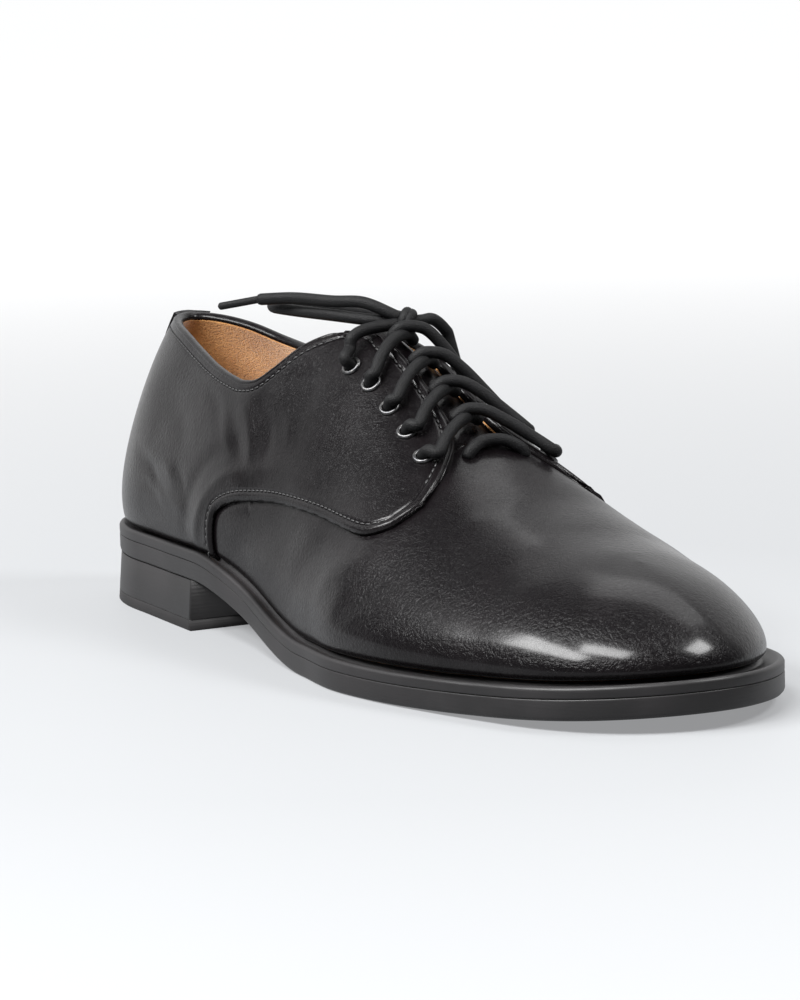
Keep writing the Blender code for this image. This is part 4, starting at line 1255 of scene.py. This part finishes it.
def locate(x, away, side):
    """Theta and t of a place along and a distance from the middle line, by Newton's steps from a search."""
    theta = side * np.linspace(0.6, math.pi - 0.5, 220)
    steps, _, points, gap = wall_grid(theta)
    miss = np.hypot(points[..., 0] - x, gap - away)
    i, j = np.unravel_index(miss.argmin(), miss.shape)
    spot = np.array([theta[i], steps[j]])
    for _ in range(6):
        spots = spot + np.array([[0, 0], [1e-4, 0], [0, 1e-4]])
        p = last(spots[:, 0], spots[:, 1])
        f = np.stack([p[:, 0] - x, np.abs(p[:, 1] - middle_line(p[:, 0])) - away], -1)
        slope = np.stack([(f[1] - f[0]) / 1e-4, (f[2] - f[0]) / 1e-4], -1)
        spot = spot - np.linalg.solve(slope, f[0])
    return spot


def eyelet_frame(number, side):
    """An eyelet's centre on the quarter, its outward direction and its place on the last."""
    theta, t = locate(*eyelet_station(number), side)
    theta, t = np.array([theta]), np.array([t])
    return skin(theta, t, QUARTER)[0], last_normal(theta, t)[0]


def make_eyelet(name, centre, direction):
    """A ring turned from a small profile: the shank inside the hole and the rolled flange over it."""
    r, o, h = EYELET_BORE, EYELET_OUTER, EYELET_HEIGHT
    lip = np.linspace(0, math.pi, 8)
    flange = np.stack([(r + o) / 2 + (o - r) / 2 * np.cos(lip), GAP + h * 0.75 * np.sin(lip)], -1)
    shank = [[r, -1.6 * MM], [r * 1.12, -1.6 * MM], [r * 1.14, 0.05 * MM], [o, 0.05 * MM]]
    profile = np.concatenate([flange, shank])
    side = unit(np.cross(direction, [0.0, 0.0, 1.0]))
    front = np.cross(direction, side)
    phi = np.linspace(0, 2 * math.pi, 32, endpoint=False)
    spoke = np.cos(phi)[:, None] * side + np.sin(phi)[:, None] * front
    grid = centre + spoke[None] * profile[:, None, 0:1] + direction * profile[:, None, 1:2]
    grid = np.concatenate([grid, grid[:1]])
    return add_mesh(name, grid.reshape(-1, 3), grid_quads(len(grid), 32, True), NICKEL)


eyelets = {}
for side_name, side in (("lateral", 1), ("medial", -1)):
    for number in range(EYELETS):
        node = f"eyelet_{side_name}_{number + 1}"
        eyelets[side, number] = eyelet_frame(number, side)
        ring = make_eyelet(f"ring_{side_name}_{number + 1}", *eyelets[side, number])
        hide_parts(node)
print("made", len(eyelets), "eyelets")

# %% [markdown]
# ## Laces
# The lace is a round waxed cord. Each strand comes up through an eyelet, climbs over the facing's edge,
# crosses the strand from the other side and dips under the opposite facing.

# %% Lace finish
def waxed_lace(name):
    """Black waxed cord with a fine braid."""
    look = Finish(name)
    braid = look.cells(1700)
    fuzz = look.noise(3000, 2.0)
    colour = look.mixed(look.ramp(fuzz, 0.4, 0.7), (0.0022, 0.0022, 0.0024), (0.006, 0.006, 0.0064))
    look.set(base_color=colour, roughness=0.5 + fuzz * 0.15, specular_ior_level=0.14,
             normal=look.relief(braid + fuzz * 0.4, 0.00022, 0.8))
    return look.material


CORD = waxed_lace("waxed_lace")

# Two strands over the throat, the outer side's and the inner side's: distance from the middle line as a
# share of its eyelet's, and the height of its centre over the last as a share of the lace
STRANDS = {
    # along the strand, away, height
    1: ((0.16, 0.88, 1.10), (0.34, 0.68, 1.26), (0.54, 0.44, 1.18), (0.72, 0.20, 0.74), (0.84, 0.00, 0.26),
        (1.00, -0.20, -0.20)),
    -1: ((0.16, 0.85, 0.96), (0.34, 0.62, 1.00), (0.54, 0.36, 1.14), (0.72, 0.12, 1.28),
         (0.86, -0.08, 1.12), (0.94, -0.20, 0.80), (1.00, -0.30, 0.20)),
}
STRAND_RISE = 0.85
BAR_PLACE = 0.1865
BAR_HALF_LENGTH = 0.0068
# Sideways share and height of the bar's points, as shares of its reach and of half the lace
BAR_ROUTE = ((-1, -0.3), (-0.75, 0.8), (-0.3, 1.2), (0.3, 1.2), (0.75, 0.8), (1, -0.3))
BAR_REACH = BAR_HALF_LENGTH * 1.35
HOLE_DEPTH = 2.2 * MM
CORD_STEP = 0.45 * MM
CORD_SIDES = 16


def round_frame(path):
    """Two directions square to a path that turn with it as little as they can."""
    tangent = unit(np.gradient(path, axis=0))
    side = np.empty_like(path)
    side[0] = unit(np.cross(tangent[0], [0.31, 0.22, 0.92]))
    for i in range(1, len(path)):
        side[i] = unit(side[i - 1] - tangent[i] * (side[i - 1] @ tangent[i]))
    return side, np.cross(tangent, side)


def make_cord(name, route, diameter, look, ends=True):
    """A round cord through a route, a little drawn in at both ends."""
    path = even(curve_through(route), CORD_STEP)
    side, up = round_frame(path)
    phi = np.linspace(0, 2 * math.pi, CORD_SIDES, endpoint=False)
    count = np.arange(len(path))
    nearest = np.minimum(count, count[::-1]) * CORD_STEP
    radius = diameter / 2 * (0.55 + 0.45 * rolled(nearest, diameter * 0.35) if ends else np.ones(len(path)))
    profile = np.stack([np.cos(phi) * radius[:, None], np.sin(phi) * radius[:, None]], -1)
    return closed_tube(name, path, side, up, profile, look), path


def over_throat(x, away, height):
    """A point over the ridge: away is negative on the outer side, and height is over the last."""
    u = (x - RIDGE_START) / (RIDGE_END - RIDGE_START)
    theta = np.array([math.acos(1 - 2 * u) * (1 if away < 0 else -1)])
    steps, _, _, gap = wall_grid(theta)
    return skin(theta, first_crossing(abs(away) - gap, steps), height)[0]


def strand(number, side):
    """Route of a strand: out of its eyelet, over the facing and under the other one, a step higher up."""
    start_x, away = eyelet_station(number)
    rise = (EYELET_BOTTOM - EYELET_TOP) / (EYELETS - 1) * STRAND_RISE
    centre, direction = eyelets[side, number]
    points = [over_throat(start_x - rise * share, -side * away * out, LACE * height + GAP)
              for share, out, height in STRANDS[side]]
    lean = (points[0] - centre) * 0.4
    hole = [centre - direction * HOLE_DEPTH, centre + direction * 0.3 * MM]
    return [*hole, centre + direction * 1.5 * MM + lean, *points]


bar_points = [over_throat(BAR_PLACE, share * BAR_REACH, LACE / 2 * drop) for share, drop in BAR_ROUTE]
bar, _ = make_cord("lace_bar_cord", bar_points, LACE, CORD)
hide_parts("lace_bar")
for number in range(1, EYELETS):
    node = f"lace_cross_{EYELETS - number}"
    for side_name, side in (("lateral", 1), ("medial", -1)):
        piece, _ = make_cord(f"strand_{side_name}_{number + 1}", strand(number, side), LACE, CORD)
        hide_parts(node)
print("made", 2 * (EYELETS - 1), "strands and a bar")

# %% [markdown]
# ## The bow
# The shoe is tied with a half bow: a knot, one loop and one free end with its tip. The routes are the
# solid model's own, so each cord lies where its solid lies.

# %% Bow
KNOT = (0.1418, 0.0050, 0.0877)
KNOT_RADIUS = 0.0040
LATERAL_TOP = ((0.1420, -0.0128, 0.0815), (0.1418, -0.0118, 0.0845), (0.1420, -0.0080, 0.0864))
MEDIAL_TOP = ((0.1425, 0.0182, 0.0815), (0.1428, 0.0165, 0.0850), (0.1434, 0.0125, 0.0880))
LOOP = (
    (0.1375, 0.0074, 0.0882), (0.1330, 0.0064, 0.0888), (0.1220, 0.0032, 0.0897),
    (0.1080, -0.0005, 0.0905), (0.0978, -0.0034, 0.0908), (0.0945, -0.0065, 0.0909),
    (0.0950, -0.0102, 0.0908), (0.0985, -0.0125, 0.0904), (0.1034, -0.0127, 0.0902),
    (0.1127, -0.0110, 0.0898), (0.1244, -0.0080, 0.0893), (0.1345, -0.0028, 0.0884),
)
FREE_END = (
    (0.1406, 0.0020, 0.0930), (0.1383, -0.0008, 0.0936), (0.1345, -0.0040, 0.0931),
    (0.1254, -0.0085, 0.0932), (0.1121, -0.0132, 0.0936), (0.1015, -0.0188, 0.0930),
)
TIP_TURN = (-0.83, -0.53, -0.17)
# The free end's first two points lie inside the knot; this one stands in for them
END_START = (0.1400, 0.0006, 0.0905)


def off_knot(point):
    """The place just outside the knot on the way to a point."""
    way = np.array(point) - np.array(KNOT)
    return np.array(KNOT) + way / np.linalg.norm(way) * (KNOT_RADIUS + 2 * GAP)


def length_of(path):
    """The whole length of a path."""
    return float(run_length(path)[-1])


for node, route, side in (("lace_top_lateral", LATERAL_TOP, 1), ("lace_top_medial", MEDIAL_TOP, -1)):
    centre, direction = eyelets[side, 0]
    start = centre + direction * (EYELET_HEIGHT + 4 * GAP + LACE / 2)
    hole = [centre - direction * HOLE_DEPTH, centre + direction * 0.8 * MM]
    piece, _ = make_cord(node + "_cord", [*hole, start, *route, off_knot(route[-1]), KNOT], LACE, CORD)
    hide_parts(node)

loop_route = [off_knot(LOOP[0]), *LOOP, off_knot(LOOP[-1])]
loop, loop_path = make_cord("loop_cord", loop_route, LACE, CORD, ends=False)
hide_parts("lace_loop")
end_route = [KNOT, off_knot(END_START), *FREE_END[2:]]
free_end, end_path = make_cord("free_end_cord", end_route, LACE, CORD)
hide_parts("lace_end")
turn = np.array(TIP_TURN) / np.linalg.norm(TIP_TURN)
tip_start = np.array(FREE_END[-1]) + turn * GAP
tip, _ = make_cord("tip_cord", [tip_start + turn * TIP_LENGTH * k for k in (-0.08, 0.3, 0.6, 1.0)], TIP, CORD)
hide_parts("lace_tip")


def knot_route():
    """Two windings side by side round the bow's own direction."""
    axis = unit(np.array([-0.55, -0.60, 0.35]))
    first = unit(np.cross(axis, [0.0, 0.0, 1.0]))
    second = np.cross(axis, first)
    phi = np.linspace(0.4 * math.pi, 4.6 * math.pi, 40)
    drift = np.linspace(-1.35, 1.35, 40) * MM
    radius = 2.45 * MM - 0.5 * MM * bump(phi, 0.4 * math.pi, 0.8) - 0.5 * MM * bump(phi, 4.6 * math.pi, 0.8)
    spoke = np.cos(phi)[:, None] * first + np.sin(phi)[:, None] * second
    return np.array(KNOT) + axis * drift[:, None] + spoke * radius[:, None]


knot, _ = make_cord("knot_cord", knot_route(), LACE * 0.96, CORD)
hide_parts("lace_knot")
print("loop", round(length_of(loop_path) * 1000), "mm, free end", round(length_of(end_path) * 1000), "mm")

# %% [markdown]
# ## Stage and light
# The shoe stands on a pale floor that curves up into the background, as in a studio. Two long soft boxes
# side by side in front draw the streaks over the toe. A smaller one lights the toe's other side, and a weak
# one washes the shoe from behind.

# %% Stage
def pale_paper(name):
    """Pale paper that glows a little, more far away than by the shoe, so that the wall stays white."""
    look = Finish(name)
    away = look.value(look.add("ShaderNodeVectorMath", {"operation": "LENGTH"}, {0: look.place}), "Value")
    glow = look.mixed(look.ramp(away, 0.2, 1.5), (0.29, 0.293, 0.30), (0.86, 0.86, 0.86))
    look.set(base_color=(0.145, 0.149, 0.153), roughness=0.6, specular_ior_level=0.1,
             emission_color=glow, emission_strength=1.0)
    return look.material


def make_stage():
    """A floor and a wall with a wide curve between them, square to the camera's line of sight."""
    _, _, back = photo_axes()
    away = -unit(np.array([back[0], back[1], 0.0]))
    across = np.array([-away[1], away[0], 0.0])
    bend = np.linspace(0, math.pi / 2, 24)
    radius, floor_end, wall_top = 0.9, 1.6, 3.2
    run = np.concatenate([[-3.0], floor_end + radius * np.sin(bend), [floor_end + radius]])
    lift = np.concatenate([[0.0], radius * (1 - np.cos(bend)), [wall_top]])
    wide = np.array([-4.0, 4.0])
    grid = run[:, None, None] * away + wide[None, :, None] * across + lift[:, None, None] * [0, 0, 1.0]
    mesh = bpy.data.meshes.new("studio_floor")
    mesh.from_pydata(grid.reshape(-1, 3).tolist(), [], grid_quads(len(run), 2, False).tolist())
    mesh.shade_smooth()
    made = bpy.data.objects.new("studio_floor", mesh)
    made.data.materials.append(pale_paper("pale_paper"))
    bpy.context.scene.collection.objects.link(made)
    return made


make_stage()


def soft_box(name, place, aim, width, height, power):
    """A rectangular light at a place, turned to an aim."""
    lamp = bpy.data.lights.new(name, "AREA")
    lamp.shape = "RECTANGLE"
    lamp.size = width
    lamp.size_y = height
    lamp.energy = power
    made = bpy.data.objects.new(name, lamp)
    made.location = place
    made.rotation_mode = "QUATERNION"
    made.rotation_quaternion = (Vector(aim) - Vector(place)).to_track_quat("-Z", "Y")
    bpy.context.scene.collection.objects.link(made)
    return made


def toward(azimuth, elevation, distance):
    """A place seen from the shoe in a direction given by two angles in degrees."""
    a, e = math.radians(azimuth), math.radians(elevation)
    flat = distance * math.cos(e)
    return flat * math.cos(a), flat * math.sin(a), distance * math.sin(e)


soft_box("front_left", toward(-98, 45, 1.35), (0.10, 0, 0.03), 0.98, 0.30, 38)
soft_box("front_top", toward(-58, 57, 1.35), (0.12, 0, 0.03), 0.66, 0.30, 27)
soft_box("front_right", toward(42, 48, 1.3), (0.12, 0, 0.03), 0.40, 0.30, 15)
soft_box("back_wash", toward(120, 60, 1.6), (0.0, 0, 0.04), 1.2, 0.5, 6)
world = bpy.data.worlds.new("studio_air")
world.use_nodes = True
world.node_tree.nodes["Background"].inputs["Color"].default_value = (0.93, 0.95, 1.0, 1.0)
world.node_tree.nodes["Background"].inputs["Strength"].default_value = 0.12
bpy.context.scene.world = world
bpy.context.scene.view_settings.view_transform = "Standard"
print("stage and lights are set")
